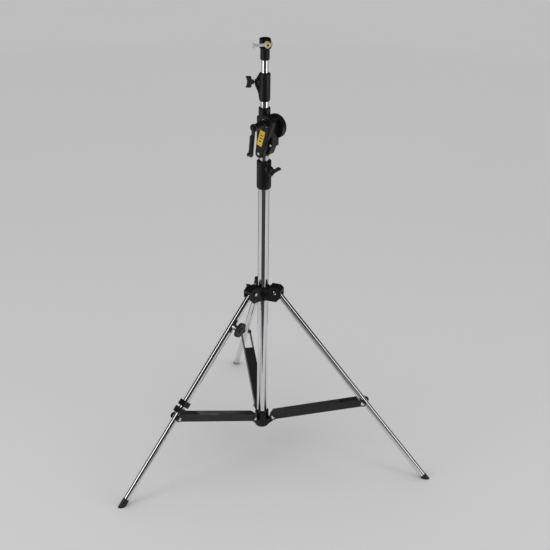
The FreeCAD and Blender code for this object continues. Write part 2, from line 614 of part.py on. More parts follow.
def gear(outline, x, z, turn, y0, y1):
    """Gear from its outline, turned by an angle in radians, at (x, z) between two Y limits."""
    c = math.cos(turn)
    s = math.sin(turn)
    corners = [V(x + c * px - s * pz, y0, z + s * px + c * pz) for px, pz in outline]
    return Part.Face(Part.makePolygon(corners + [corners[0]])).extrude(V(0, y1 - y0, 0))


def cross_rod(x, z, y0, y1, radius):
    """Cylinder across the winch between two Y limits."""
    return rod(V(x, y0, z), V(0, 1, 0), radius, y1 - y0)


def in_winch(shape):
    """From the winch frame to the stand: X to the gear shafts, -Y to the crank, Z up."""
    return in_azimuth(shape, WINCH_AZIMUTH)


def mesh_angle():
    """Direction from the drive shaft to the crank shaft in the XZ plane."""
    return math.atan2(CRANK_Z - DRIVE_Z, CRANK_X - DRIVE_X)


def drum_centre():
    """Middle of the gear drum, centred on the two gears together."""
    reach = (2 * PINION_R + GEAR_MODULE - GEAR_ADDENDUM) / 2
    return DRIVE_X + reach * math.cos(mesh_angle()), DRIVE_Z + reach * math.sin(mesh_angle())


def keyhole(grow, y0, y1):
    """Keyhole-shaped prism round the crank shaft and the cover's lower end."""
    top_r = COVER_TOP_R + grow
    low_r = COVER_LOW_R + grow
    dx = CRANK_X - COVER_LOW_X
    dz = CRANK_Z - COVER_LOW_Z
    length = math.hypot(dx, dz)
    ux = dx / length
    uz = dz / length
    lean = (low_r - top_r) / length
    side = math.sqrt(1 - lean * lean)
    corners = []
    for sign in (1, -1):
        nx = lean * ux - sign * side * uz
        nz = lean * uz + sign * side * ux
        ends = [V(COVER_LOW_X + low_r * nx, y0, COVER_LOW_Z + low_r * nz),
                V(CRANK_X + top_r * nx, y0, CRANK_Z + top_r * nz)]
        corners += ends if sign == 1 else ends[::-1]
    middle = Part.Face(Part.makePolygon(corners + [corners[0]])).extrude(V(0, y1 - y0, 0))
    return join(middle, cross_rod(CRANK_X, CRANK_Z, y0, y1, top_r),
                cross_rod(COVER_LOW_X, COVER_LOW_Z, y0, y1, low_r))


def riser_tube():
    """Middle mast tube that carries the winch."""
    return mast_pipe(RISER_BOTTOM, RISER_TOP, RISER_R, RISER_BORE_R)


def winch_body():
    """Winch casting: barrel on the riser, gear block, drum plate and cover plate."""
    barrel_r = RISER_R + WINCH_WALL
    low = WINCH_BOTTOM
    barrel = turned([(RISER_R, low), (barrel_r - 2, low), (barrel_r, low + 2), (barrel_r, WINCH_TOP - 3),
                     (barrel_r - 2, WINCH_TOP), (RISER_R, WINCH_TOP)], V(0, 0, 0), UP)
    block_half = BODY_HALF - COVER_BOLT_STEP
    block = softened(box(-barrel_r + 1, WINCH_BLOCK_REACH, -block_half, block_half, low + 42, CRANK_Z + 12), 4)
    neck = plate([(-barrel_r + 2, low + 46), (46, low + 46), (32, low + 10), (-barrel_r + 4, low + 6)], 16)
    drum_x, drum_z = drum_centre()
    drum_plate = cross_rod(drum_x, drum_z, BODY_HALF - 8, BODY_HALF, DRUM_R)
    body = join(barrel, block, neck, drum_plate, keyhole(0, -BODY_HALF, 3 - BODY_HALF))
    body = body.cut(mast_rod(low - 5, WINCH_TOP + 5, RISER_R))
    body = body.cut(cross_rod(CRANK_X, CRANK_Z, -BODY_HALF, BODY_HALF, SHAFT_BUSH_R))
    body = body.cut(cross_rod(DRIVE_X, DRIVE_Z, -BODY_HALF + 6, BODY_HALF, SHAFT_BUSH_R))
    return body.cut(cross_rod(DRIVE_X, DRIVE_Z, -5, 5, RACK_R + 2))


def shaft_bushes():
    """Four plain bearings of the two winch shafts."""
    spans = [(CRANK_X, CRANK_Z, -BODY_HALF, -BODY_HALF + 10), (CRANK_X, CRANK_Z, BODY_HALF - 10, BODY_HALF),
             (DRIVE_X, DRIVE_Z, -BODY_HALF + 6, -5), (DRIVE_X, DRIVE_Z, 5, BODY_HALF)]
    return group([pipe(V(x, y0, z), V(0, 1, 0), SHAFT_BUSH_R, SHAFT_R + RUNNING_FIT, y1 - y0)
                  for x, z, y0, y1 in spans])


def column_bushes():
    """Two guide bushes of the geared column inside the winch."""
    inner = COLUMN_R + RUNNING_FIT
    return group([mast_pipe(RISER_TOP, RISER_TOP + 14, RISER_R, inner),
                  mast_pipe(WINCH_TOP - BUSH_LENGTH, WINCH_TOP, RISER_R, inner)])


def drum_cover():
    """Cup over the gear pair on the rear of the winch."""
    x, z = drum_centre()
    far = BODY_HALF + DRUM_LENGTH
    cup = cross_rod(x, z, BODY_HALF, far, DRUM_R)
    cup = softened(cup, 5, lambda edge: edge.BoundBox.YMin > far - 1)
    return cup.cut(cross_rod(x, z, BODY_HALF - 1, far - DRUM_WALL, DRUM_R - DRUM_WALL))


def front_cover():
    """Hollow keyhole cover over the brake on the crank side."""
    far = BODY_HALF + COVER_LENGTH
    cover = keyhole(0, -far, -BODY_HALF)
    cover = softened(cover, 4, lambda edge: edge.BoundBox.YMax < -far + 1)
    cover = cover.cut(keyhole(-DRUM_WALL, -far + DRUM_WALL, -BODY_HALF + 1))
    pillar = cross_rod(COVER_LOW_X, COVER_LOW_Z, -far + DRUM_WALL, -BODY_HALF, 6)
    cover = join(cover, pillar).cut(cross_rod(COVER_LOW_X, COVER_LOW_Z, -far - 1, -BODY_HALF + 1, 3))
    return cover.cut(cross_rod(CRANK_X, CRANK_Z, -far - 1, -BODY_HALF, SHAFT_R + 3))


def cover_bolts():
    """Screw of the front cover and the larger bolt beside it."""
    far = BODY_HALF + COVER_LENGTH
    screw = join(cross_rod(COVER_LOW_X, COVER_LOW_Z, -far, -BODY_HALF, 3),
                 cross_rod(COVER_LOW_X, COVER_LOW_Z, -far - 2.5, -far, 5))
    seat = BODY_HALF - COVER_BOLT_STEP
    bolt = softened(cross_rod(WINCH_BLOCK_REACH - 6.5, WINCH_BOTTOM + 52, -seat - 5, -seat, 5.5), 1.5,
                    lambda edge: edge.BoundBox.YMax < -seat - 4)
    return group([screw, bolt])


def label_plate():
    """Blank rating plate on the front cover."""
    far = BODY_HALF + COVER_LENGTH
    label = box(-12.5, 12.5, -1, 0, -31.5, 31.5)
    label.rotate(V(0, 0, 0), V(0, 1, 0), 16)
    label.translate(V(18.5, -far, CRANK_Z - 60))
    return label


def brake_lining():
    """Friction ring fixed on the winch body."""
    return pipe(V(CRANK_X, -BODY_HALF - 7.7, CRANK_Z), V(0, 1, 0), 20, SHAFT_BUSH_R + 1, 7.7)


def brake_disc():
    """Brake disc on the crank shaft."""
    return pipe(V(CRANK_X, -BODY_HALF - 12, CRANK_Z), V(0, 1, 0), 20, SHAFT_R, 4)


def drive_shaft():
    """Drive shaft with the rack pinion cut on it; one tooth points at the mast."""
    outline = gear_outline(RACK_MODULE, RACK_TEETH, 0.55 * RACK_MODULE, 0.8 * RACK_MODULE, RACK_BACKLASH)
    pinion = gear(outline, DRIVE_X, DRIVE_Z, math.pi, -RACK_HALF_WIDTH + 0.5, RACK_HALF_WIDTH - 0.5)
    return join(pinion, cross_rod(DRIVE_X, DRIVE_Z, -BODY_HALF + 6, BODY_HALF + DRUM_LENGTH - 4, SHAFT_R))


def drive_gear():
    """Large gear on the drive shaft, with one tooth toward the crank pinion."""
    outline = gear_outline(GEAR_MODULE, GEAR_TEETH, GEAR_ADDENDUM, 1.25 * GEAR_MODULE, GEAR_BACKLASH)
    wheel = gear(outline, DRIVE_X, DRIVE_Z, mesh_angle(), BODY_HALF + 4, BODY_HALF + 12)
    return wheel.cut(cross_rod(DRIVE_X, DRIVE_Z, 0, BODY_HALF + 20, SHAFT_R))


def crank_shaft():
    """Crank shaft with the small pinion; a tooth gap faces the large gear."""
    outline = gear_outline(GEAR_MODULE, PINION_TEETH, GEAR_MODULE * 0.9, GEAR_ADDENDUM + 0.4, GEAR_BACKLASH)
    turn = mesh_angle() + math.pi + math.pi / PINION_TEETH
    pinion = gear(outline, CRANK_X, CRANK_Z, turn, BODY_HALF + 3.5, BODY_HALF + 12.5)
    far = BODY_HALF + COVER_LENGTH
    return join(pinion, cross_rod(CRANK_X, CRANK_Z, -far - CRANK_HUB_LENGTH + 20, BODY_HALF + DRUM_LENGTH - 4,
                                  SHAFT_R))


def crank_washer():
    """Bright ring between the front cover and the crank hub."""
    far = BODY_HALF + COVER_LENGTH
    return pipe(V(CRANK_X, -far - 2.5, CRANK_Z), V(0, 1, 0), CRANK_HUB_R + 1, SHAFT_R, 2.2)


def arm_face():
    """Distance from the winch middle to the inner face of the crank arm."""
    return BODY_HALF + COVER_LENGTH + 2.5 + CRANK_HUB_LENGTH - 13


def crank_hub():
    """Tapered crank hub with a rounded tip and a seat for the arm."""
    start = BODY_HALF + COVER_LENGTH + 2.5
    seat = arm_face() - start
    profile = [(0, 0), (CRANK_HUB_R, 0), (CRANK_HUB_R, 6), (CRANK_HUB_TIP_R + 1.5, seat),
               (CRANK_HUB_TIP_R, seat), (CRANK_HUB_TIP_R, CRANK_HUB_LENGTH - 3),
               (CRANK_HUB_TIP_R - 3, CRANK_HUB_LENGTH), (0, CRANK_HUB_LENGTH)]
    hub = turned(profile, V(CRANK_X, -start, CRANK_Z), V(0, -1, 0))
    return hub.cut(cross_rod(CRANK_X, CRANK_Z, -BODY_HALF - COVER_LENGTH - CRANK_HUB_LENGTH + 20, 0, SHAFT_R))


def in_arm(shape):
    """From the arm frame (X down the arm, origin on the crank shaft) to the stand."""
    tilt = math.radians(CRANK_ARM_TILT)
    x_dir = V(-math.sin(tilt), 0, -math.cos(tilt))
    return in_winch(placed(shape, V(CRANK_X, 0, CRANK_Z), x_dir, V(0, 1, 0)))


def crank_arm():
    """Flat crank arm with two ears, and the pin of the folding grip."""
    inner = arm_face()
    outer = inner + CRANK_ARM_THICK
    pin_y = outer + GRIP_OFFSET
    length = CRANK_ARM_LENGTH
    eye = rod(V(0, -outer, 0), V(0, 1, 0), CRANK_HUB_TIP_R + 5, CRANK_ARM_THICK)
    end = rod(V(length, -outer, 0), V(0, 1, 0), 8, CRANK_ARM_THICK)
    arm = join(eye, box(0, length, -outer, -inner, -CRANK_ARM_HALF, CRANK_ARM_HALF), end)
    ear = join(rod(V(length, -pin_y, 0), V(0, 0, 1), 7.5, 3),
               box(length - 7.5, length + 7.5, -pin_y, -outer, 0, 3))
    for low in (4.6, -7.6):
        placed_ear = ear.copy()
        placed_ear.translate(V(0, 0, low))
        arm = join(arm, placed_ear)
    arm = arm.cut(rod(V(0, -outer - 1, 0), V(0, 1, 0), CRANK_HUB_TIP_R, CRANK_ARM_THICK + 2))
    arm = arm.cut(rod(V(length, -pin_y, -10), V(0, 0, 1), 2.5, 20))
    pin = rod(V(length, -pin_y, -8.5), V(0, 0, 1), 2.5, 17)
    return group([in_arm(arm), in_arm(pin)])


def grip_spindle():
    """Hinged spindle of the grip, folded along the arm."""
    pin_y = arm_face() + CRANK_ARM_THICK + GRIP_OFFSET
    length = CRANK_ARM_LENGTH
    knuckle = rod(V(length, -pin_y, -4.3), V(0, 0, 1), 5, 8.6)
    stem = rod(V(length, -pin_y, 0), V(-1, 0, 0), 3, GRIP_LENGTH + 11)
    cap = rod(V(length - GRIP_LENGTH - 9.6, -pin_y, 0), V(-1, 0, 0), 5, 2.4)
    body = join(knuckle, stem, cap)
    return body.cut(rod(V(length, -pin_y, -10), V(0, 0, 1), 2.5 + RUNNING_FIT, 20))


def grip_sleeve():
    """Turning sleeve of the grip."""
    pin_y = arm_face() + CRANK_ARM_THICK + GRIP_OFFSET
    start = V(CRANK_ARM_LENGTH - 9.2, -pin_y, 0)
    sleeve = softened(rod(start, V(-1, 0, 0), GRIP_R, GRIP_LENGTH), 2)
    return sleeve.cut(rod(start, V(-1, 0, 0), 3 + RUNNING_FIT, GRIP_LENGTH))


# ---- geared column and top tube ---------------------------------------------
def geared_column():
    """Column tube with the rack slots cut through its wall on the gear side."""
    top = UPPER_CLAMP_TOP - BUSH_LENGTH
    tube = in_winch(mast_pipe(COLUMN_BOTTOM, top, COLUMN_R, COLUMN_BORE_R))
    pitch = math.pi * RACK_MODULE
    slope = math.tan(math.radians(PRESSURE_ANGLE))
    inner = RACK_PITCH_LINE - 3
    outer = RACK_PITCH_LINE + 3
    half_pitch_line = pitch / 4 + RACK_BACKLASH / 2
    half_inner = half_pitch_line - slope * 3
    half_outer = half_pitch_line + slope * 3
    count_up = int(4 * RACK_R / pitch / 2) + 1
    count_down = int(LIFT_TRAVEL / pitch) + 4
    slots = []
    for i in range(-count_down, count_up + 1):
        z = DRIVE_Z + i * pitch
        slots.append(plate([(inner, z - half_inner), (inner, z + half_inner),
                            (outer, z + half_outer), (outer, z - half_outer)], RACK_HALF_WIDTH))
    tube = tube.cut(in_winch(group(slots)))
    return tube.cut(rod(UP * (UPPER_CLAMP_TOP - UPPER_KNOB_DROP), radial(UPPER_KNOB_AZIMUTH),
                        KNOB_SCREW_R + AIR_GAP, COLUMN_R + 5))


def slide_guide(low, bore_r, tube_r):
    """Guide ring fixed round the lower end of a sliding tube."""
    return mast_pipe(low, low + 30, bore_r - RUNNING_FIT, tube_r)


def upper_clamp():
    """Upper mast clamp, fixed on top of the geared column."""
    return mast_clamp(UPPER_CLAMP_TOP, UPPER_CLAMP_HEIGHT, UPPER_CLAMP_R, COLUMN_R,
                      UPPER_KNOB_AZIMUTH, UPPER_KNOB_DROP, CLAMP_BOSS_R - 2, UPPER_CLAMP_R + 15.5)


def top_tube():
    """Uppermost mast tube."""
    return mast_pipe(TOP_TUBE_BOTTOM, HEAD_TOP - SOCKET_DEPTH - 2, TOP_TUBE_R, TOP_TUBE_R - TOP_TUBE_WALL)


def head_casting():
    """Head with the spigot socket and the boss of its screw."""
    low = HEAD_TOP - HEAD_BLOCK_HEIGHT
    sleeve = turned([(0, HEAD_BOTTOM), (HEAD_SLEEVE_R - 3, HEAD_BOTTOM), (HEAD_SLEEVE_R, HEAD_BOTTOM + 3),
                     (HEAD_SLEEVE_R, low), (HEAD_SLEEVE_R + 3.5, low + 5), (HEAD_SLEEVE_R + 3.5, HEAD_TOP - 2),
                     (HEAD_SLEEVE_R + 1.5, HEAD_TOP), (0, HEAD_TOP)], V(0, 0, 0), UP)
    boss = softened(box(0, HEAD_BOSS_REACH, -18, 18, low + 4, HEAD_TOP - 2), 4)
    body = join(sleeve, in_azimuth(boss, HEAD_SCREW_AZIMUTH))
    body = body.cut(mast_rod(HEAD_BOTTOM - 1, HEAD_TOP - SOCKET_DEPTH - 2, TOP_TUBE_R))
    body = body.cut(mast_rod(HEAD_TOP - SOCKET_DEPTH, HEAD_TOP + 1, SOCKET_R))
    screw_start = UP * (HEAD_TOP - HEAD_SCREW_DROP)
    return body.cut(rod(screw_start, radial(HEAD_SCREW_AZIMUTH), HEAD_SCREW_R + RUNNING_FIT, 60))


def head_screw():
    """Socket screw with a drilled head for the tommy bar."""
    start = SOCKET_R + AIR_GAP
    z = HEAD_TOP - HEAD_SCREW_DROP
    far = SCREW_HEAD_START + SCREW_HEAD_LENGTH
    head = turned([(0, SCREW_HEAD_START), (SCREW_HEAD_R, SCREW_HEAD_START), (SCREW_HEAD_R, far - 1.5),
                   (SCREW_HEAD_R - 1.5, far), (4, far), (4, far - 2), (0, far - 2)], V(0, 0, 0), V(1, 0, 0))
    screw = join(head, rod(V(start, 0, 0), V(1, 0, 0), HEAD_SCREW_R, SCREW_HEAD_START - start + 1))
    middle = SCREW_HEAD_START + SCREW_HEAD_LENGTH / 2
    screw = screw.cut(rod(V(middle, -30, 0), V(0, 1, 0), TOMMY_R + RUNNING_FIT, 60))
    screw.translate(V(0, 0, z))
    return in_azimuth(screw, HEAD_SCREW_AZIMUTH)


def tommy_bar():
    """Sliding bar through the screw head and its two end stops."""
    middle = SCREW_HEAD_START + SCREW_HEAD_LENGTH / 2
    short = SCREW_HEAD_R + 2
    centre = V(middle, 0, HEAD_TOP - HEAD_SCREW_DROP)
    bar = rod(centre - V(0, TOMMY_REACH, 0), V(0, 1, 0), TOMMY_R, TOMMY_REACH + short)
    far_stop = softened(rod(centre - V(0, TOMMY_REACH + 6, 0), V(0, 1, 0), 9.5, 6), 1.5)
    near_stop = softened(rod(centre + V(0, short, 0), V(0, 1, 0), 7, 4.5), 1.2)
    return group([in_azimuth(shape, HEAD_SCREW_AZIMUTH) for shape in (bar, far_stop, near_stop)])


# ---- all nodes --------------------------------------------------------------
def build_nodes():
    """Shape of every node by name."""
    nodes = {
        "base_tube": base_tube(),
        "base_plug": base_plug(),
        "hub_casting": hub_casting(),
        "hub_bolts": pivot_set(cross_bolt, HUB_PIVOT_HEIGHT, BRACE_INNER_HALF + BRACE_SHEET + AIR_GAP),
        "hub_nuts": pivot_set(cross_nut, HUB_PIVOT_HEIGHT, BRACE_INNER_HALF + BRACE_SHEET + AIR_GAP),
        "base_clamp": base_clamp(),
        "base_clamp_bush": mast_pipe(BASE_CLAMP_TOP - BUSH_LENGTH, BASE_CLAMP_TOP, BASE_TUBE_R,
                                     RISER_R + RUNNING_FIT),
        "base_knob": wing_knob(BASE_KNOB_AZIMUTH, BASE_CLAMP_TOP - BASE_KNOB_DROP, BASE_CLAMP_R + 15,
                               RISER_R + AIR_GAP, 52, BASE_KNOB_TURN),
        "leg_collar": leg_collar(),
        "collar_bush": collar_bush(),
        "leg_pivot_bolts": pivot_set(cross_bolt, LEG_PIVOT_HEIGHT, HOOD_HALF_WIDTH),
        "leg_pivot_nuts": pivot_set(cross_nut, LEG_PIVOT_HEIGHT, HOOD_HALF_WIDTH),
        "collar_knob": wing_knob(COLLAR_KNOB_AZIMUTH, LEG_PIVOT_HEIGHT - 13, COLLAR_R + 11,
                                 BASE_TUBE_R + AIR_GAP, 44),
        "level_outer_tube": in_leg(level_outer_tube(), LEG_AZIMUTHS["left"]),
        "leg_clamps": group([in_leg(leg_clamp(i, along), LEG_AZIMUTHS["left"])
                             for i, along in enumerate(CLAMP_ALONG)]),
        "level_inner_tube": in_leg(level_inner_tube(), LEG_AZIMUTHS["left"]),
        "level_block": in_leg(level_block(), LEG_AZIMUTHS["left"]),
        "level_stud": in_leg(level_stud(), LEG_AZIMUTHS["left"]),
        "level_saddle": in_leg(level_saddle(), LEG_AZIMUTHS["left"]),
        "level_foot": on_floor(level_foot(), LEG_AZIMUTHS["left"]),
        "level_knob": in_leg(level_knob(), LEG_AZIMUTHS["left"]),
        "riser_tube": riser_tube(),
        "riser_guide": slide_guide(RISER_BOTTOM, BASE_BORE_R, RISER_R),
        "winch_body": in_winch(winch_body()),
        "shaft_bushes": in_winch(shaft_bushes()),
        "column_bushes": column_bushes(),
        "drum_cover": in_winch(drum_cover()),
        "front_cover": in_winch(front_cover()),
        "cover_bolts": in_winch(cover_bolts()),
        "label_plate": in_winch(label_plate()),
        "brake_lining": in_winch(brake_lining()),
        "brake_disc": in_winch(brake_disc()),
        "drive_shaft": in_winch(drive_shaft()),
        "drive_gear": in_winch(drive_gear()),
        "crank_shaft": in_winch(crank_shaft()),
        "crank_washer": in_winch(crank_washer()),
        "crank_hub": in_winch(crank_hub()),
        "crank_arm": crank_arm(),
        "grip_spindle": in_arm(grip_spindle()),
        "grip_sleeve": in_arm(grip_sleeve()),
        "geared_column": geared_column(),
        "column_guide": slide_guide(COLUMN_BOTTOM, RISER_BORE_R, COLUMN_R),
        "upper_clamp": upper_clamp(),
        "upper_clamp_bush": mast_pipe(UPPER_CLAMP_TOP - BUSH_LENGTH, UPPER_CLAMP_TOP, COLUMN_R,
                                      TOP_TUBE_R + RUNNING_FIT),
        "upper_knob": wing_knob(UPPER_KNOB_AZIMUTH, UPPER_CLAMP_TOP - UPPER_KNOB_DROP, UPPER_CLAMP_R + 18,
                                TOP_TUBE_R + AIR_GAP, 44),
        "top_tube": top_tube(),
        "top_tube_guide": slide_guide(TOP_TUBE_BOTTOM, COLUMN_BORE_R, TOP_TUBE_R),
        "head_casting": head_casting(),
        "head_screw": head_screw(),
        "tommy_bar": tommy_bar(),
    }
    for name in ("right", "rear"):
        azimuth = LEG_AZIMUTHS[name]
        nodes["leg_" + name + "_tube"] = in_leg(leg_tube(LEG_TUBE_LENGTH), azimuth)
        nodes["leg_" + name + "_foot"] = on_floor(foot_plug(), azimuth)
    for name, azimuth in LEG_AZIMUTHS.items():
        nodes["brace_" + name] = in_brace(brace(), azimuth)
        nodes["brace_" + name + "_bolts"] = in_brace(brace_bolts(name != "left"), azimuth)
    return nodes


os.makedirs("parts", exist_ok=True)
for node_name, node_shape in build_nodes().items():
    node_shape.exportStep("parts/" + node_name + ".step")
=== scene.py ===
import bpy
import bmesh
import json
import math
from mathutils import Matrix, Vector


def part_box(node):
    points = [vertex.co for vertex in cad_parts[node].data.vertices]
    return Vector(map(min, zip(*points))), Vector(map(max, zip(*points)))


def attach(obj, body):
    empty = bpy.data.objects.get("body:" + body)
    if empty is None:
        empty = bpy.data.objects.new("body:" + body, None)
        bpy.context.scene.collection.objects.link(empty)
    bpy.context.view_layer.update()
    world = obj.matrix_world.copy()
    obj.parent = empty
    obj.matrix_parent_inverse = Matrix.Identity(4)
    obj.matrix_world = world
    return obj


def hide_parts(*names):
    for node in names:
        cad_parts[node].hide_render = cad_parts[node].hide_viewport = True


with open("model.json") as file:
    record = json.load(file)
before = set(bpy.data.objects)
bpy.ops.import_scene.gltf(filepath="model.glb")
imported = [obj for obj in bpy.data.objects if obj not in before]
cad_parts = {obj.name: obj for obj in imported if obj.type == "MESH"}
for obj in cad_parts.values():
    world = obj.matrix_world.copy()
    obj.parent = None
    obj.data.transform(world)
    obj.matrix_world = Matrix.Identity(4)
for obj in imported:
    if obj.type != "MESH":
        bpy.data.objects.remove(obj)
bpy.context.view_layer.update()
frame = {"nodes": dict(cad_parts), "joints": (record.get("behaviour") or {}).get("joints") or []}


# ---- Chromed steel ----
# Four telescoping mast tubes, three legs and the sliding foot tube are drawn steel, polished and
# chrome plated, as are the bottom plug, the pivot and cover bolts and the crank's washer. Hands
# leave soft smudges and slightly duller patches.

def effect_group(name, inputs, outputs):
    """Start a shader node group with named float inputs and outputs."""
    group = bpy.data.node_groups.new(name, "ShaderNodeTree")
    for label, value in inputs:
        socket = group.interface.new_socket(name=label, in_out="INPUT", socket_type="NodeSocketFloat")
        socket.default_value = value
    for label, kind in outputs:
        group.interface.new_socket(name=label, in_out="OUTPUT", socket_type=kind)
    entry = group.nodes.new("NodeGroupInput")
    leave = group.nodes.new("NodeGroupOutput")
    return group, entry, leave


def smudge_group():
    """Cloudy value between Low and High, for roughness that changes over a surface."""
    inputs = [("Scale", 12.0), ("Low", 0.1), ("High", 0.3)]
    group, entry, leave = effect_group("handling smudges", inputs, [("Value", "NodeSocketFloat")])
    place = group.nodes.new("ShaderNodeTexCoord")
    noise = group.nodes.new("ShaderNodeTexNoise")
    noise.inputs["Detail"].default_value = 6.0
    noise.inputs["Roughness"].default_value = 0.6
    spread = group.nodes.new("ShaderNodeMapRange")
    spread.inputs["From Min"].default_value = 0.35
    spread.inputs["From Max"].default_value = 0.68
    link = group.links.new
    link(place.outputs["Object"], noise.inputs["Vector"])
    link(entry.outputs["Scale"], noise.inputs["Scale"])
    link(noise.outputs["Fac"], spread.inputs["Value"])
    link(entry.outputs["Low"], spread.inputs["To Min"])
    link(entry.outputs["High"], spread.inputs["To Max"])
    link(spread.outputs["Result"], leave.inputs["Value"])
    return group


SMUDGES = smudge_group()


def place_group(tree, group, **values):
    """Put an effect group in a material with its own values."""
    node = tree.nodes.new("ShaderNodeGroup")
    node.node_tree = group
    for label, value in values.items():
        node.inputs[label].default_value = value
    return node


def new_surface(name):
    """A material with its Principled shader, ready for links."""
    material = bpy.data.materials.new(name)
    material.use_nodes = True
    shader = material.node_tree.nodes["Principled BSDF"]
    return material, material.node_tree, shader


def mixed_colour(tree, mask, clean, marked):
    """Colour that goes from clean to marked with a mask."""
    mix = tree.nodes.new("ShaderNodeMix")
    mix.data_type = "RGBA"
    mix.inputs["A"].default_value = (*clean, 1)
    mix.inputs["B"].default_value = (*marked, 1)
    tree.links.new(mask, mix.inputs["Factor"])
    return mix.outputs["Result"]


def chrome_plate():
    """Bright chrome with smudges and slightly duller patches."""
    material, tree, shader = new_surface("chrome plate")
    shader.inputs["Metallic"].default_value = 1.0
    smudge = place_group(tree, SMUDGES, Scale=9.0, Low=0.05, High=0.13)
    tint = place_group(tree, SMUDGES, Scale=3.0, Low=0.0, High=1.0)
    colour = mixed_colour(tree, tint.outputs["Value"], (0.84, 0.85, 0.87), (0.76, 0.76, 0.77))
    tree.links.new(colour, shader.inputs["Base Color"])
    tree.links.new(smudge.outputs["Value"], shader.inputs["Roughness"])
    return material


nodes = frame["nodes"]


def finish_nodes(material, *names):
    """Give CAD nodes a material."""
    for name in names:
        mesh = nodes[name].data
        mesh.materials.clear()
        mesh.materials.append(material)


CHROME = chrome_plate()
finish_nodes(CHROME, "base_tube", "riser_tube", "geared_column", "top_tube", "leg_right_tube",
             "leg_rear_tube", "level_outer_tube", "level_inner_tube", "base_plug", "hub_bolts",
             "leg_pivot_bolts", "cover_bolts", "brace_right_bolts", "brace_rear_bolts",
             "brace_left_bolts", "crank_washer")


# ---- Black castings ----
# Brace hub, leg collar, mast clamps, winch case and covers, leg clamps, crank hub and head are
# cast aluminium with a fine sand skin under satin black enamel, rubbed a little grey along their
# corners.

def grain_group():
    """Fine surface grain as a normal."""
    inputs = [("Scale", 900.0), ("Strength", 0.1), ("Height", 0.0003)]
    group, entry, leave = effect_group("surface grain", inputs, [("Normal", "NodeSocketVector")])
    place = group.nodes.new("ShaderNodeTexCoord")
    noise = group.nodes.new("ShaderNodeTexNoise")
    noise.inputs["Detail"].default_value = 3.0
    bump = group.nodes.new("ShaderNodeBump")
    link = group.links.new
    link(place.outputs["Object"], noise.inputs["Vector"])
    link(entry.outputs["Scale"], noise.inputs["Scale"])
    link(noise.outputs["Fac"], bump.inputs["Height"])
    link(entry.outputs["Strength"], bump.inputs["Strength"])
    link(entry.outputs["Height"], bump.inputs["Distance"])
    link(bump.outputs["Normal"], leave.inputs["Normal"])
    return group


def edge_group():
    """Mask of rubbed corners, broken up by noise."""
    inputs = [("Width", 0.0012), ("Amount", 0.5)]
    group, entry, leave = effect_group("rubbed edges", inputs, [("Mask", "NodeSocketFloat")])
    place = group.nodes.new("ShaderNodeTexCoord")
    rounded = group.nodes.new("ShaderNodeBevel")
    rounded.samples = 4
    plain = group.nodes.new("ShaderNodeNewGeometry")
    compare = group.nodes.new("ShaderNodeVectorMath")
    compare.operation = "DOT_PRODUCT"
    edge = group.nodes.new("ShaderNodeMapRange")
    edge.inputs["From Min"].default_value = 0.995
    edge.inputs["From Max"].default_value = 0.86
    noise = group.nodes.new("ShaderNodeTexNoise")
    noise.inputs["Scale"].default_value = 140.0
    noise.inputs["Detail"].default_value = 8.0
    patchy = group.nodes.new("ShaderNodeMapRange")
    patchy.inputs["From Min"].default_value = 0.42
    patchy.inputs["From Max"].default_value = 0.62
    both = group.nodes.new("ShaderNodeMath")
    both.operation = "MULTIPLY"
    scaled = group.nodes.new("ShaderNodeMath")
    scaled.operation = "MULTIPLY"
    link = group.links.new
    link(entry.outputs["Width"], rounded.inputs["Radius"])
    link(rounded.outputs["Normal"], compare.inputs[0])
    link(plain.outputs["Normal"], compare.inputs[1])
    link(compare.outputs["Value"], edge.inputs["Value"])
    link(place.outputs["Object"], noise.inputs["Vector"])
    link(noise.outputs["Fac"], patchy.inputs["Value"])
    link(edge.outputs["Result"], both.inputs[0])
    link(patchy.outputs["Result"], both.inputs[1])
    link(both.outputs["Value"], scaled.inputs[0])
    link(entry.outputs["Amount"], scaled.inputs[1])
    link(scaled.outputs["Value"], leave.inputs["Mask"])
    return group


GRAIN = grain_group()
EDGES = edge_group()


def casting_enamel():
    """Satin black enamel over a fine cast skin."""
    material, tree, shader = new_surface("black casting enamel")
    shader.inputs["Specular IOR Level"].default_value = 0.28
    edges = place_group(tree, EDGES, Width=0.0014, Amount=0.35)
    smudge = place_group(tree, SMUDGES, Scale=22.0, Low=0.24, High=0.40)
    grain = place_group(tree, GRAIN, Scale=520.0, Strength=0.35, Height=0.0004)
    colour = mixed_colour(tree, edges.outputs["Mask"], (0.006, 0.006, 0.0068), (0.12, 0.12, 0.125))
    tree.links.new(colour, shader.inputs["Base Color"])
    tree.links.new(smudge.outputs["Value"], shader.inputs["Roughness"])
    tree.links.new(grain.outputs["Normal"], shader.inputs["Normal"])
    return material


CASTING = casting_enamel()
finish_nodes(CASTING, "hub_casting", "base_clamp", "leg_collar", "winch_body", "drum_cover",
             "front_cover", "upper_clamp", "head_casting", "leg_clamps", "crank_hub")


# ---- Painted sheet parts ----
# The three braces are channels pressed from steel sheet, the crank arm is flat bar and the grip's
# spindle is round bar. All are painted satin black, a shade greyer than the castings.

def sheet_paint():
    """Satin black paint on pressed steel."""
    material, tree, shader = new_surface("black sheet paint")
    shader.inputs["Specular IOR Level"].default_value = 0.35
    edges = place_group(tree, EDGES, Width=0.0010, Amount=0.5)
    smudge = place_group(tree, SMUDGES, Scale=16.0, Low=0.26, High=0.42)
    grain = place_group(tree, GRAIN, Scale=300.0, Strength=0.18, Height=0.0003)
    colour = mixed_colour(tree, edges.outputs["Mask"], (0.012, 0.012, 0.0135), (0.16, 0.16, 0.165))
    tree.links.new(colour, shader.inputs["Base Color"])
    tree.links.new(smudge.outputs["Value"], shader.inputs["Roughness"])
    tree.links.new(grain.outputs["Normal"], shader.inputs["Normal"])
    return material


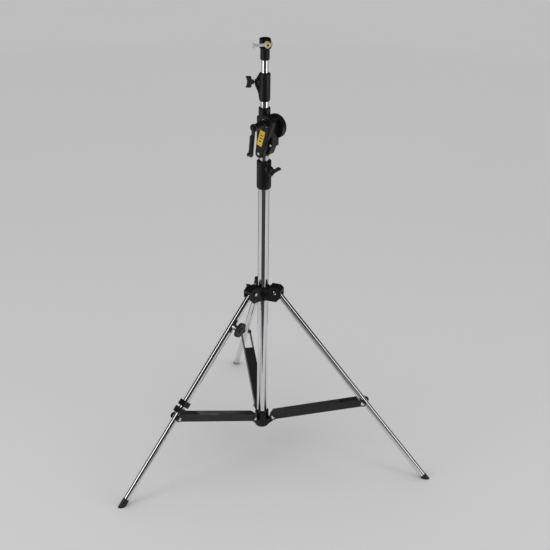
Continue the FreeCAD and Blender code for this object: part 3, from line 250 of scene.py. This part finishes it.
SHEET = sheet_paint()
finish_nodes(SHEET, "brace_right", "brace_rear", "brace_left", "crank_arm", "grip_spindle")


# ---- Zinc-plated steel and brass ----
# Nuts, shafts, gears and the levelling leg's stud, block and saddle washer are zinc-plated steel,
# and the tommy bar is a ground steel pin. The head screw and the shaft bushes are turned brass.

def turned_metal(name, colour, dull, low, high, metallic=1.0):
    """Machined bare metal with cloudy dulling."""
    material, tree, shader = new_surface(name)
    shader.inputs["Metallic"].default_value = metallic
    cloud = place_group(tree, SMUDGES, Scale=40.0, Low=0.0, High=1.0)
    smudge = place_group(tree, SMUDGES, Scale=60.0, Low=low, High=high)
    grain = place_group(tree, GRAIN, Scale=1500.0, Strength=0.15, Height=0.0002)
    clouded = mixed_colour(tree, cloud.outputs["Value"], colour, dull)
    tree.links.new(clouded, shader.inputs["Base Color"])
    tree.links.new(smudge.outputs["Value"], shader.inputs["Roughness"])
    tree.links.new(grain.outputs["Normal"], shader.inputs["Normal"])
    return material


ZINC = turned_metal("zinc plated steel", (0.58, 0.58, 0.59), (0.45, 0.45, 0.47), 0.22, 0.38)
BRASS = turned_metal("turned brass", (0.90, 0.76, 0.44), (0.74, 0.60, 0.32), 0.36, 0.50, 0.6)
BRIGHT_PIN = turned_metal("ground steel pin", (0.82, 0.82, 0.82), (0.70, 0.70, 0.71), 0.34, 0.46, 0.6)
finish_nodes(ZINC, "hub_nuts", "leg_pivot_nuts", "level_block", "level_stud", "level_saddle",
             "drive_shaft", "drive_gear", "crank_shaft")
finish_nodes(BRIGHT_PIN, "tommy_bar")
finish_nodes(BRASS, "head_screw", "shaft_bushes")


# ---- Moulded plastic ----
# Wing knobs, the large lobed knob, foot caps and the grip are moulded in dark grey plastic with a
# fine spark-eroded grain. Guide rings, mast bushes and the collar's lining are black nylon, and
# the winch brake's disc and lining are brown friction material.

def moulded_plastic(name, colour, worn, scale):
    """Dark moulded plastic with a fine grain."""
    material, tree, shader = new_surface(name)
    shader.inputs["Specular IOR Level"].default_value = 0.35
    edges = place_group(tree, EDGES, Width=0.0010, Amount=0.3)
    smudge = place_group(tree, SMUDGES, Scale=30.0, Low=0.42, High=0.58)
    grain = place_group(tree, GRAIN, Scale=scale, Strength=0.3, Height=0.0003)
    rubbed = mixed_colour(tree, edges.outputs["Mask"], colour, worn)
    tree.links.new(rubbed, shader.inputs["Base Color"])
    tree.links.new(smudge.outputs["Value"], shader.inputs["Roughness"])
    tree.links.new(grain.outputs["Normal"], shader.inputs["Normal"])
    return material


PLASTIC = moulded_plastic("dark knob plastic", (0.016, 0.0165, 0.018), (0.09, 0.09, 0.095), 1400.0)
NYLON = moulded_plastic("black nylon", (0.020, 0.020, 0.021), (0.07, 0.07, 0.07), 700.0)
LINING = moulded_plastic("friction lining", (0.10, 0.07, 0.05), (0.16, 0.12, 0.09), 400.0)
finish_nodes(PLASTIC, "base_knob", "collar_knob", "upper_knob", "level_knob", "grip_sleeve",
             "leg_right_foot", "leg_rear_foot", "level_foot")
finish_nodes(NYLON, "base_clamp_bush", "collar_bush", "riser_guide", "column_bushes", "column_guide",
             "upper_clamp_bush", "top_tube_guide")
finish_nodes(LINING, "brake_lining", "brake_disc")


# ---- Wing knobs ----
# Three moulded wing knobs clamp the mast and the collar. Each is a round hub with one ring groove
# and a waisted wing across its end, moulded round the head of a steel screw.

def mesh_piece(name, shape, material, smooth_angle=35.0):
    """Make an object from a bmesh, at the world origin, with smooth faces and kept corners."""
    bmesh.ops.remove_doubles(shape, verts=shape.verts, dist=0.00001)
    bmesh.ops.recalc_face_normals(shape, faces=shape.faces)
    mesh = bpy.data.meshes.new(name)
    shape.to_mesh(mesh)
    shape.free()
    mesh.materials.append(material)
    mesh.shade_smooth()
    mesh.set_sharp_from_angle(angle=math.radians(smooth_angle))
    piece = bpy.data.objects.new(name, mesh)
    bpy.context.scene.collection.objects.link(piece)
    return piece


def lathe(shape, profile, steps=48):
    """Spin (radius, distance) points round Z into a closed body; returns its vertices."""
    before = set(shape.verts)
    line = [shape.verts.new((radius, 0.0, along)) for radius, along in profile]
    edges = [shape.edges.new(pair) for pair in zip(line[:-1], line[1:])]
    bmesh.ops.spin(shape, geom=line + edges, cent=(0, 0, 0), axis=(0, 0, 1), angle=2 * math.pi, steps=steps,
                   use_merge=True)
    made = [vertex for vertex in shape.verts if vertex not in before]
    bmesh.ops.remove_doubles(shape, verts=made, dist=0.00001)
    return [vertex for vertex in shape.verts if vertex not in before]


def stand_on(point, direction, side):
    """Matrix that takes local Z to a direction and local X towards a side, at a point."""
    z_axis = Vector(direction).normalized()
    x_axis = (Vector(side) - z_axis * Vector(side).dot(z_axis)).normalized()
    y_axis = z_axis.cross(x_axis)
    turn = Matrix((x_axis, y_axis, z_axis)).transposed().to_4x4()
    return Matrix.Translation(Vector(point)) @ turn


joints = {joint["name"]: joint for joint in frame["joints"]}

WING_HALF_THICKNESS = 0.0066
WING_DEPTH = 0.0335
WING_MIDDLE = 0.0162         # middle of the wing, out from the hub's foot
WAIST_THICKNESS = 0.72       # share of the thickness that is left at the waist
WAIST_DEPTH = 0.55           # share of the depth at the waist
TIP_DEPTH = 0.75             # share of the depth at the tips
TIP_SWEEP = 0.25             # outward sweep of the tips, as a share of the half depth
HUB_RADIUS = 0.0090
HUB_GROOVE = 0.0010
SCREW_RADIUS = 0.0040
SCREW_HOLD = 0.002           # length of screw inside the hub


def wing_knob(name, joint_name, node, body, foot, span, turn):
    """Waisted wing of a knob, across its screw, with its tips swept outwards."""
    joint = joints[joint_name]
    screw_axis = Vector(joint["axis"])
    upright = Matrix.Rotation(math.radians(turn), 3, screw_axis) @ Vector((0, 0, 1))
    shape = bmesh.new()
    bmesh.ops.create_cube(shape, size=2.0)
    long_edges = [edge for edge in shape.edges if abs(edge.verts[0].co.x - edge.verts[1].co.x) > 1]
    bmesh.ops.subdivide_edges(shape, edges=long_edges, cuts=7)
    for vertex in shape.verts:
        flare = vertex.co.x ** 2
        thickness = WAIST_THICKNESS + (1 - WAIST_THICKNESS) * flare
        depth = WAIST_DEPTH + (TIP_DEPTH - WAIST_DEPTH) * flare
        out = vertex.co.z * depth + TIP_SWEEP * flare
        vertex.co.y *= WING_HALF_THICKNESS * thickness
        vertex.co.z = foot + WING_MIDDLE + 0.5 * WING_DEPTH * out
        vertex.co.x *= span / 2
    bmesh.ops.transform(shape, matrix=stand_on(joint["pos_m"], screw_axis, upright), verts=shape.verts)
    wing = mesh_piece(name, shape, PLASTIC, 180.0)
    soft = wing.modifiers.new("rounded", "SUBSURF")
    soft.levels = 3
    soft.render_levels = 3
    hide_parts(node)
    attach(wing, body)


def knob_hub(name, joint_name, body, foot):
    """Round hub with a ring groove, which carries the wing."""
    joint = joints[joint_name]
    waist = HUB_RADIUS - HUB_GROOVE
    shape = bmesh.new()
    lathe(shape, [(0.0, foot), (HUB_RADIUS - 0.0004, foot), (HUB_RADIUS, foot + 0.0010),
                  (HUB_RADIUS, foot + 0.0030), (waist, foot + 0.0036), (waist, foot + 0.0046),
                  (HUB_RADIUS, foot + 0.0052), (HUB_RADIUS - 0.0002, foot + 0.0100),
                  (HUB_RADIUS - 0.0014, foot + 0.0150), (0.0, foot + 0.0170)])
    bmesh.ops.transform(shape, matrix=stand_on(joint["pos_m"], joint["axis"], (0, 0, 1)), verts=shape.verts)
    hub = mesh_piece(name, shape, PLASTIC)
    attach(hub, body)


def knob_screw(name, joint_name, body, foot, tip):
    """Steel screw of a wing knob, from its tip in the casting to the knob."""
    joint = joints[joint_name]
    shape = bmesh.new()
    lathe(shape, [(0.0, tip), (SCREW_RADIUS - 0.0008, tip), (SCREW_RADIUS, tip + 0.001),
                  (SCREW_RADIUS, foot + SCREW_HOLD), (0.0, foot + SCREW_HOLD)], 24)
    bmesh.ops.transform(shape, matrix=stand_on(joint["pos_m"], joint["axis"], (0, 0, 1)), verts=shape.verts)
    piece = mesh_piece(name, shape, ZINC)
    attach(piece, body)


for knob_name, cad_knob, screw_tip, hub_foot, wing_span, wing_turn in (
        ("lower", "base_knob", 0.0178, 0.0420, 0.052, -70.0),
        ("upper", "upper_knob", 0.0128, 0.0385, 0.044, 0.0),
        ("collar", "collar_knob", 0.0203, 0.0400, 0.044, 0.0)):
    lock_body = knob_name + "_lock"
    lock_joint = knob_name + "_lock_turn"
    wing_knob(knob_name + "_wing", lock_joint, cad_knob, lock_body, hub_foot, wing_span, wing_turn)
    knob_hub(knob_name + "_wing_hub", lock_joint, lock_body, hub_foot)
    knob_screw(knob_name + "_wing_screw", lock_joint, lock_body, hub_foot, screw_tip)


# ---- Levelling knob ----
# A large six-lobed hand knob moulded in one piece, dished round its centre, with a domed boss
# over the nut that runs on the levelling stud.

LOBES = 6
LOBE_RADIUS = 0.031
LOBE_DEPTH = 0.10            # share of the radius lost between two lobes
CORE_RADIUS = 0.0150         # round centre, inside the lobes
KNOB_BORE_RADIUS = 0.0042
KNOB_FOOT = 0.0315
KNOB_TOP = 0.0445
BOSS_RADIUS = 0.0108
BOSS_RISE = 0.0030


def lobed_knob():
    """Six-lobed knob on the axis of its joint."""
    joint = joints["leg_lock_turn"]
    shape = bmesh.new()
    under = [(KNOB_BORE_RADIUS, KNOB_FOOT), (0.0110, KNOB_FOOT), (0.0200, KNOB_FOOT + 0.0016)]
    rim = [(LOBE_RADIUS - 0.0020, KNOB_FOOT), (LOBE_RADIUS - 0.0004, KNOB_FOOT + 0.0016),
           (LOBE_RADIUS, KNOB_FOOT + 0.0040), (LOBE_RADIUS, KNOB_TOP - 0.0040),
           (LOBE_RADIUS - 0.0006, KNOB_TOP - 0.0016), (LOBE_RADIUS - 0.0028, KNOB_TOP)]
    dish = [(0.0230, KNOB_TOP - 0.0004), (0.0180, KNOB_TOP - 0.0030), (0.0130, KNOB_TOP - 0.0026)]
    boss = [(BOSS_RADIUS, KNOB_TOP + 0.0008), (BOSS_RADIUS - 0.0018, KNOB_TOP + BOSS_RISE - 0.0004),
            (0.0050, KNOB_TOP + BOSS_RISE), (0.0, KNOB_TOP + BOSS_RISE)]
    lathe(shape, under + rim + dish + boss, 96)
    for vertex in shape.verts:
        flat = math.hypot(vertex.co.x, vertex.co.y)
        if flat > CORE_RADIUS:
            angle = math.atan2(vertex.co.y, vertex.co.x)
            hollow = 0.5 - 0.5 * math.cos(LOBES * angle)
            reach = (flat - CORE_RADIUS) / (LOBE_RADIUS - CORE_RADIUS)
            shrink = 1.0 - LOBE_DEPTH * hollow ** 1.6 * reach
            vertex.co.x *= shrink
            vertex.co.y *= shrink
    along = (Vector((0, 0, 1)) - Vector(joint["axis"]) * joint["axis"][2]).normalized()
    bmesh.ops.transform(shape, matrix=stand_on(joint["pos_m"], joint["axis"], along), verts=shape.verts)
    piece = mesh_piece("levelling_hand_knob", shape, PLASTIC, 40.0)
    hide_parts("level_knob")
    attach(piece, "leg_lock")


lobed_knob()


# ---- Crank grip ----
# The folding grip is a slim moulded sleeve with shallow finger grooves and rounded ends, free to
# spin on its steel spindle.

GRIP_FOOT = 0.0092           # near end of the sleeve, out from its joint
GRIP_LENGTH = 0.062
GRIP_RADIUS = 0.0054
GRIP_BORE_RADIUS = 0.00305
GRIP_END_ROUND = 0.0030
GRIP_MARGIN = 0.008          # smooth length at each end
GRIP_GROOVES = 7
GRIP_GROOVE_DEPTH = 0.0007


def crank_grip():
    """Grooved sleeve along the spindle of its joint."""
    joint = joints["grip_spin"]
    end = GRIP_FOOT + GRIP_LENGTH
    pitch = (GRIP_LENGTH - 2 * GRIP_MARGIN) / GRIP_GROOVES
    waist = GRIP_RADIUS - GRIP_GROOVE_DEPTH
    profile = [(GRIP_BORE_RADIUS, GRIP_FOOT), (GRIP_RADIUS - 0.0018, GRIP_FOOT),
               (GRIP_RADIUS - 0.0004, GRIP_FOOT + 0.0010), (GRIP_RADIUS, GRIP_FOOT + GRIP_END_ROUND)]
    for groove in range(GRIP_GROOVES):
        start = GRIP_FOOT + GRIP_MARGIN + groove * pitch
        profile += [(GRIP_RADIUS, start), (waist, start + 0.3 * pitch), (waist, start + 0.6 * pitch)]
    profile += [(GRIP_RADIUS, end - GRIP_MARGIN), (GRIP_RADIUS, end - GRIP_END_ROUND),
                (GRIP_RADIUS - 0.0004, end - 0.0010), (GRIP_RADIUS - 0.0018, end),
                (GRIP_BORE_RADIUS, end), (GRIP_BORE_RADIUS, GRIP_FOOT)]
    shape = bmesh.new()
    lathe(shape, profile, 40)
    bmesh.ops.transform(shape, matrix=stand_on(joint["pos_m"], joint["axis"], (1, 0, 0)), verts=shape.verts)
    piece = mesh_piece("crank_grip", shape, PLASTIC)
    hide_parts("grip_sleeve")
    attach(piece, "grip")


crank_grip()


# ---- Cap screws ----
# Blackened socket-head cap screws stand on the drum cover's face and on the lower clamp. A small
# dark disc in the socket of the brass head screw is painted shade for the shadow down in the socket.

BLACKED = turned_metal("blackened steel", (0.055, 0.055, 0.060), (0.030, 0.030, 0.032), 0.30, 0.45)
GEAR_AZIMUTH = 312.0         # direction from the mast to the winch gears
DRUM_AZIMUTH = 42.0          # direction that the drum cover faces
DRUM_ALONG = 0.02846         # drum axis, out from the mast towards the gears
DRUM_FACE = 0.039            # face of the drum cover, across from the mast
DRUM_SCREW_INSET = 0.011
CLAMP_SCREW_AZIMUTH = 282.0
CLAMP_SCREW_REACH = 0.0261
CLAMP_SCREW_HEIGHT = 1.143
SOCKET_FOOT = 0.0378
SOCKET_RADIUS = 0.0040


def cap_screw(shape, point, direction, radius, height):
    """Socket-head screw with its head standing on a point."""
    before = set(shape.verts)
    sunk = -0.0015
    depth = 0.55 * height
    lathe(shape, [(0.0, sunk), (radius, sunk), (radius, height - 0.0005), (radius - 0.0005, height),
                  (0.58 * radius, height), (0.54 * radius, height - depth), (0.0, height - depth)], 24)
    made = [vertex for vertex in shape.verts if vertex not in before]
    bmesh.ops.transform(shape, matrix=stand_on(point, direction, (0.3, 0.2, 1)), verts=made)


def screw_set(name, body, places, radius=0.0034, height=0.0032):
    """Several cap screws on one body as one piece."""
    shape = bmesh.new()
    for point, direction in places:
        cap_screw(shape, point, direction, radius, height)
    piece = mesh_piece(name, shape, BLACKED, 30.0)
    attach(piece, body)


def level_vector(azimuth):
    """Level unit vector at an azimuth in degrees."""
    angle = math.radians(azimuth)
    return Vector((math.cos(angle), math.sin(angle), 0.0))


def winch_point(along, across, height):
    """Point in the winch frame: towards the gears, across to the drum, and up."""
    return level_vector(GEAR_AZIMUTH) * along + level_vector(DRUM_AZIMUTH) * across + Vector((0, 0, height))


def drum_screw_place(angle):
    """Point on the drum cover's face near its rim, and the way it faces."""
    low, high = (Vector(corner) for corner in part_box("drum_cover"))
    reach = (high.z - low.z) / 2 - DRUM_SCREW_INSET
    along = DRUM_ALONG + reach * math.cos(math.radians(angle))
    height = (low.z + high.z) / 2 + reach * math.sin(math.radians(angle))
    return winch_point(along, DRUM_FACE, height), level_vector(DRUM_AZIMUTH)


screw_set("drum_cover_screws", "riser", [drum_screw_place(angle) for angle in (30, 120, 210, 300)])
clamp_face = level_vector(CLAMP_SCREW_AZIMUTH)
clamp_screw_point = clamp_face * CLAMP_SCREW_REACH + Vector((0, 0, CLAMP_SCREW_HEIGHT))
screw_set("lower_clamp_screw", "mast_base", [(clamp_screw_point, clamp_face)], 0.0050, 0.0030)


def head_socket_shade_disc():
    """Dark disc in the socket of the head screw, painted shade for the shadow down in the socket."""
    joint = joints["head_screw_turn"]
    face = SOCKET_FOOT + 0.0017
    shape = bmesh.new()
    lathe(shape, [(0.0, SOCKET_FOOT), (SOCKET_RADIUS, SOCKET_FOOT), (SOCKET_RADIUS, face - 0.0005),
                  (SOCKET_RADIUS - 0.0006, face), (0.0, face)], 24)
    bmesh.ops.transform(shape, matrix=stand_on(joint["pos_m"], joint["axis"], (0, 0, 1)), verts=shape.verts)
    # painted shade: this dark disc stands for the shadow inside the screw's socket
    piece = mesh_piece("head_screw_socket_shade", shape, PLASTIC)
    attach(piece, "head_lock")


head_socket_shade_disc()


# ---- Rating plate ----
# A thin printed plate is stuck to the front cover. It is plain yellow with a dark border line and
# three plain bars.

PLATE_MIDDLE = winch_point(0.0185, -0.043, 1.323)
PLATE_LEAN = 16.0            # degrees from upright
PLATE_TURN = -48.0           # degrees from the stand's frame to the winch's
BORDER_HALF_WIDTH = 0.0113   # inner edge of the border line
BORDER_HALF_HEIGHT = 0.0303
BAR_HALF_WIDTH = 0.0060
BAR_ZONE_HALF_HEIGHT = 0.0160
BAR_SPACING = 0.0120
BAR_HALF_THICKNESS = 0.0022
YELLOW = (0.66, 0.42, 0.018)
INK = (0.050, 0.040, 0.016)


def plate_print():
    """Yellow plate with a dark line border and plain bars."""
    material, tree, shader = new_surface("yellow rating plate")
    place = tree.nodes.new("ShaderNodeTexCoord")
    centre = tree.nodes.new("ShaderNodeMapping")
    centre.vector_type = "TEXTURE"
    centre.inputs["Location"].default_value = PLATE_MIDDLE
    lean = Matrix.Rotation(math.radians(PLATE_LEAN), 3, "Y")
    turn = Matrix.Rotation(math.radians(PLATE_TURN), 3, "Z") @ lean
    centre.inputs["Rotation"].default_value = turn.to_euler()
    split = tree.nodes.new("ShaderNodeSeparateXYZ")
    tree.links.new(place.outputs["Object"], centre.inputs["Vector"])
    tree.links.new(centre.outputs["Vector"], split.inputs["Vector"])

    def math_node(operation, first, second=None, limit=None):
        """Math node on one or two values, or on a value and a fixed limit."""
        node = tree.nodes.new("ShaderNodeMath")
        node.operation = operation
        tree.links.new(first, node.inputs[0])
        if second is not None:
            tree.links.new(second, node.inputs[1])
        if limit is not None:
            node.inputs[1].default_value = limit
        return node.outputs["Value"]

    width = math_node("ABSOLUTE", split.outputs["X"])
    height = math_node("ABSOLUTE", split.outputs["Z"])
    within_width = math_node("LESS_THAN", width, limit=BAR_HALF_WIDTH)
    within_height = math_node("LESS_THAN", height, limit=BAR_ZONE_HALF_HEIGHT)
    zone = math_node("MULTIPLY", within_width, within_height)
    stripes = math_node("PINGPONG", split.outputs["Z"], limit=BAR_SPACING / 2)
    bars = math_node("MULTIPLY", zone, math_node("LESS_THAN", stripes, limit=BAR_HALF_THICKNESS))
    past_width = math_node("GREATER_THAN", width, limit=BORDER_HALF_WIDTH)
    past_height = math_node("GREATER_THAN", height, limit=BORDER_HALF_HEIGHT)
    border = math_node("MAXIMUM", past_width, past_height)
    ink = math_node("MAXIMUM", bars, border)
    tree.links.new(mixed_colour(tree, ink, YELLOW, INK), shader.inputs["Base Color"])
    smudge = place_group(tree, SMUDGES, Scale=50.0, Low=0.30, High=0.45)
    tree.links.new(smudge.outputs["Value"], shader.inputs["Roughness"])
    return material


finish_nodes(plate_print(), "label_plate")


# ---- Camera, floor and studio light ----
# The camera stands in front of the gap between the two near legs and looks down at the stand.
# A plain pale floor fills the view, and soft panels and dark cards give the chrome its bands.

CAMERA_AZIMUTH = -9.9        # turn from the camera's own frame to the stand's
CAMERA_DISTANCE = 4.531
CAMERA_HEIGHT = 2.925
CAMERA_PITCH = 0.446
CAMERA_YAW = 0.010
CAMERA_ROLL = 0.013
SENSOR_WIDTH = 36.0          # millimetres, as is the lens
LENS = 86.4
FLOOR_HALF_WIDTH = 30.0
FLOOR_GREY = 0.585
WORLD_GREY = 0.91
WORLD_STRENGTH = 0.95


def studio_camera():
    """Camera in front of the stand, looking down at it."""
    data = bpy.data.cameras.new("camera")
    data.sensor_width = SENSOR_WIDTH
    data.lens = LENS
    data.clip_end = 100.0
    camera = bpy.data.objects.new("camera", data)
    forward = Vector((math.sin(CAMERA_YAW) * math.cos(CAMERA_PITCH),
                      math.cos(CAMERA_YAW) * math.cos(CAMERA_PITCH), -math.sin(CAMERA_PITCH)))
    right = Vector((math.cos(CAMERA_YAW), -math.sin(CAMERA_YAW), 0.0))
    up = right.cross(forward)
    turned_right = right * math.cos(CAMERA_ROLL) + up * math.sin(CAMERA_ROLL)
    turned_up = up * math.cos(CAMERA_ROLL) - right * math.sin(CAMERA_ROLL)
    axes = Matrix((turned_right, turned_up, -forward)).transposed().to_4x4()
    place = Matrix.Translation(Vector((0.0, -CAMERA_DISTANCE, CAMERA_HEIGHT))) @ axes
    camera.matrix_world = Matrix.Rotation(math.radians(CAMERA_AZIMUTH), 4, "Z") @ place
    bpy.context.scene.collection.objects.link(camera)
    bpy.context.scene.camera = camera


def floor():
    """Large plain floor."""
    shape = bmesh.new()
    bmesh.ops.create_grid(shape, x_segments=1, y_segments=1, size=FLOOR_HALF_WIDTH)
    material, tree, shader = new_surface("studio floor")
    shader.inputs["Roughness"].default_value = 0.9
    shader.inputs["Specular IOR Level"].default_value = 0.1
    cloud = place_group(tree, SMUDGES, Scale=0.6, Low=0.0, High=1.0)
    grey = mixed_colour(tree, cloud.outputs["Value"], (FLOOR_GREY,) * 3, (FLOOR_GREY + 0.005,) * 3)
    tree.links.new(grey, shader.inputs["Base Color"])
    mesh_piece("studio_floor", shape, material)


def panel(name, azimuth, distance, low, width, height, power):
    """Tall soft light panel facing the mast, with its lower edge at a height."""
    data = bpy.data.lights.new(name, "AREA")
    data.shape = "RECTANGLE"
    data.size = width
    data.size_y = height
    data.energy = power
    light = bpy.data.objects.new(name, data)
    out = level_vector(azimuth)
    light.matrix_world = stand_on(out * distance + Vector((0, 0, low + height / 2)), out,
                                  out.cross(Vector((0, 0, 1))))
    bpy.context.scene.collection.objects.link(light)


def card(name, rings, shade):
    """Cloth round the mast, seen in reflections only; a ring is radius, height and two azimuths."""
    shape = bmesh.new()
    steps = 12
    rows = []
    for radius, height, low, high in rings:
        turns = [low + (high - low) * step / steps for step in range(steps + 1)]
        arc = [level_vector(turn) * radius + Vector((0, 0, height)) for turn in turns]
        rows.append([shape.verts.new(point) for point in arc])
    for near, far in zip(rows[:-1], rows[1:]):
        for step in range(steps):
            shape.faces.new((near[step], far[step], far[step + 1], near[step + 1]))
    material, tree, shader = new_surface(name + " cloth")
    shader.inputs["Roughness"].default_value = 1.0
    cloud = place_group(tree, SMUDGES, Scale=4.0, Low=0.0, High=1.0)
    colour = mixed_colour(tree, cloud.outputs["Value"], (shade,) * 3, (shade * 1.1,) * 3)
    tree.links.new(colour, shader.inputs["Base Color"])
    piece = mesh_piece(name, shape, material)
    piece.visible_camera = False
    piece.visible_diffuse = False
    piece.visible_shadow = False


studio_camera()
floor()
world = bpy.data.worlds.new("studio")
world.use_nodes = True
sky = world.node_tree.nodes["Background"]
sky.inputs["Color"].default_value = (WORLD_GREY, WORLD_GREY, WORLD_GREY, 1)
sky.inputs["Strength"].default_value = WORLD_STRENGTH
bpy.context.scene.world = world
panel("left softbox", 203.0, 2.6, 0.6, 1.0, 2.6, 16.0)
panel("right softbox", 322.0, 2.8, 0.4, 0.8, 2.6, 12.0)
card_height = 0.001
card("front card", [(0.60, card_height, 255.0, 261.0), (0.90, card_height, 240.0, 274.0),
                    (1.40, card_height, 220.0, 296.0), (6.0, card_height, 216.0, 298.0)], 0.045)
card("rear card", [(1.05, card_height, 40.0, 120.0), (6.0, card_height, 34.0, 126.0)], 0.035)
card("dark tent", [(6.0, 0.7, 0.0, 360.0), (6.0, 3.4, 0.0, 360.0), (0.30, 3.4, 0.0, 360.0)], 0.03)
bpy.context.scene.view_settings.view_transform = "Standard"
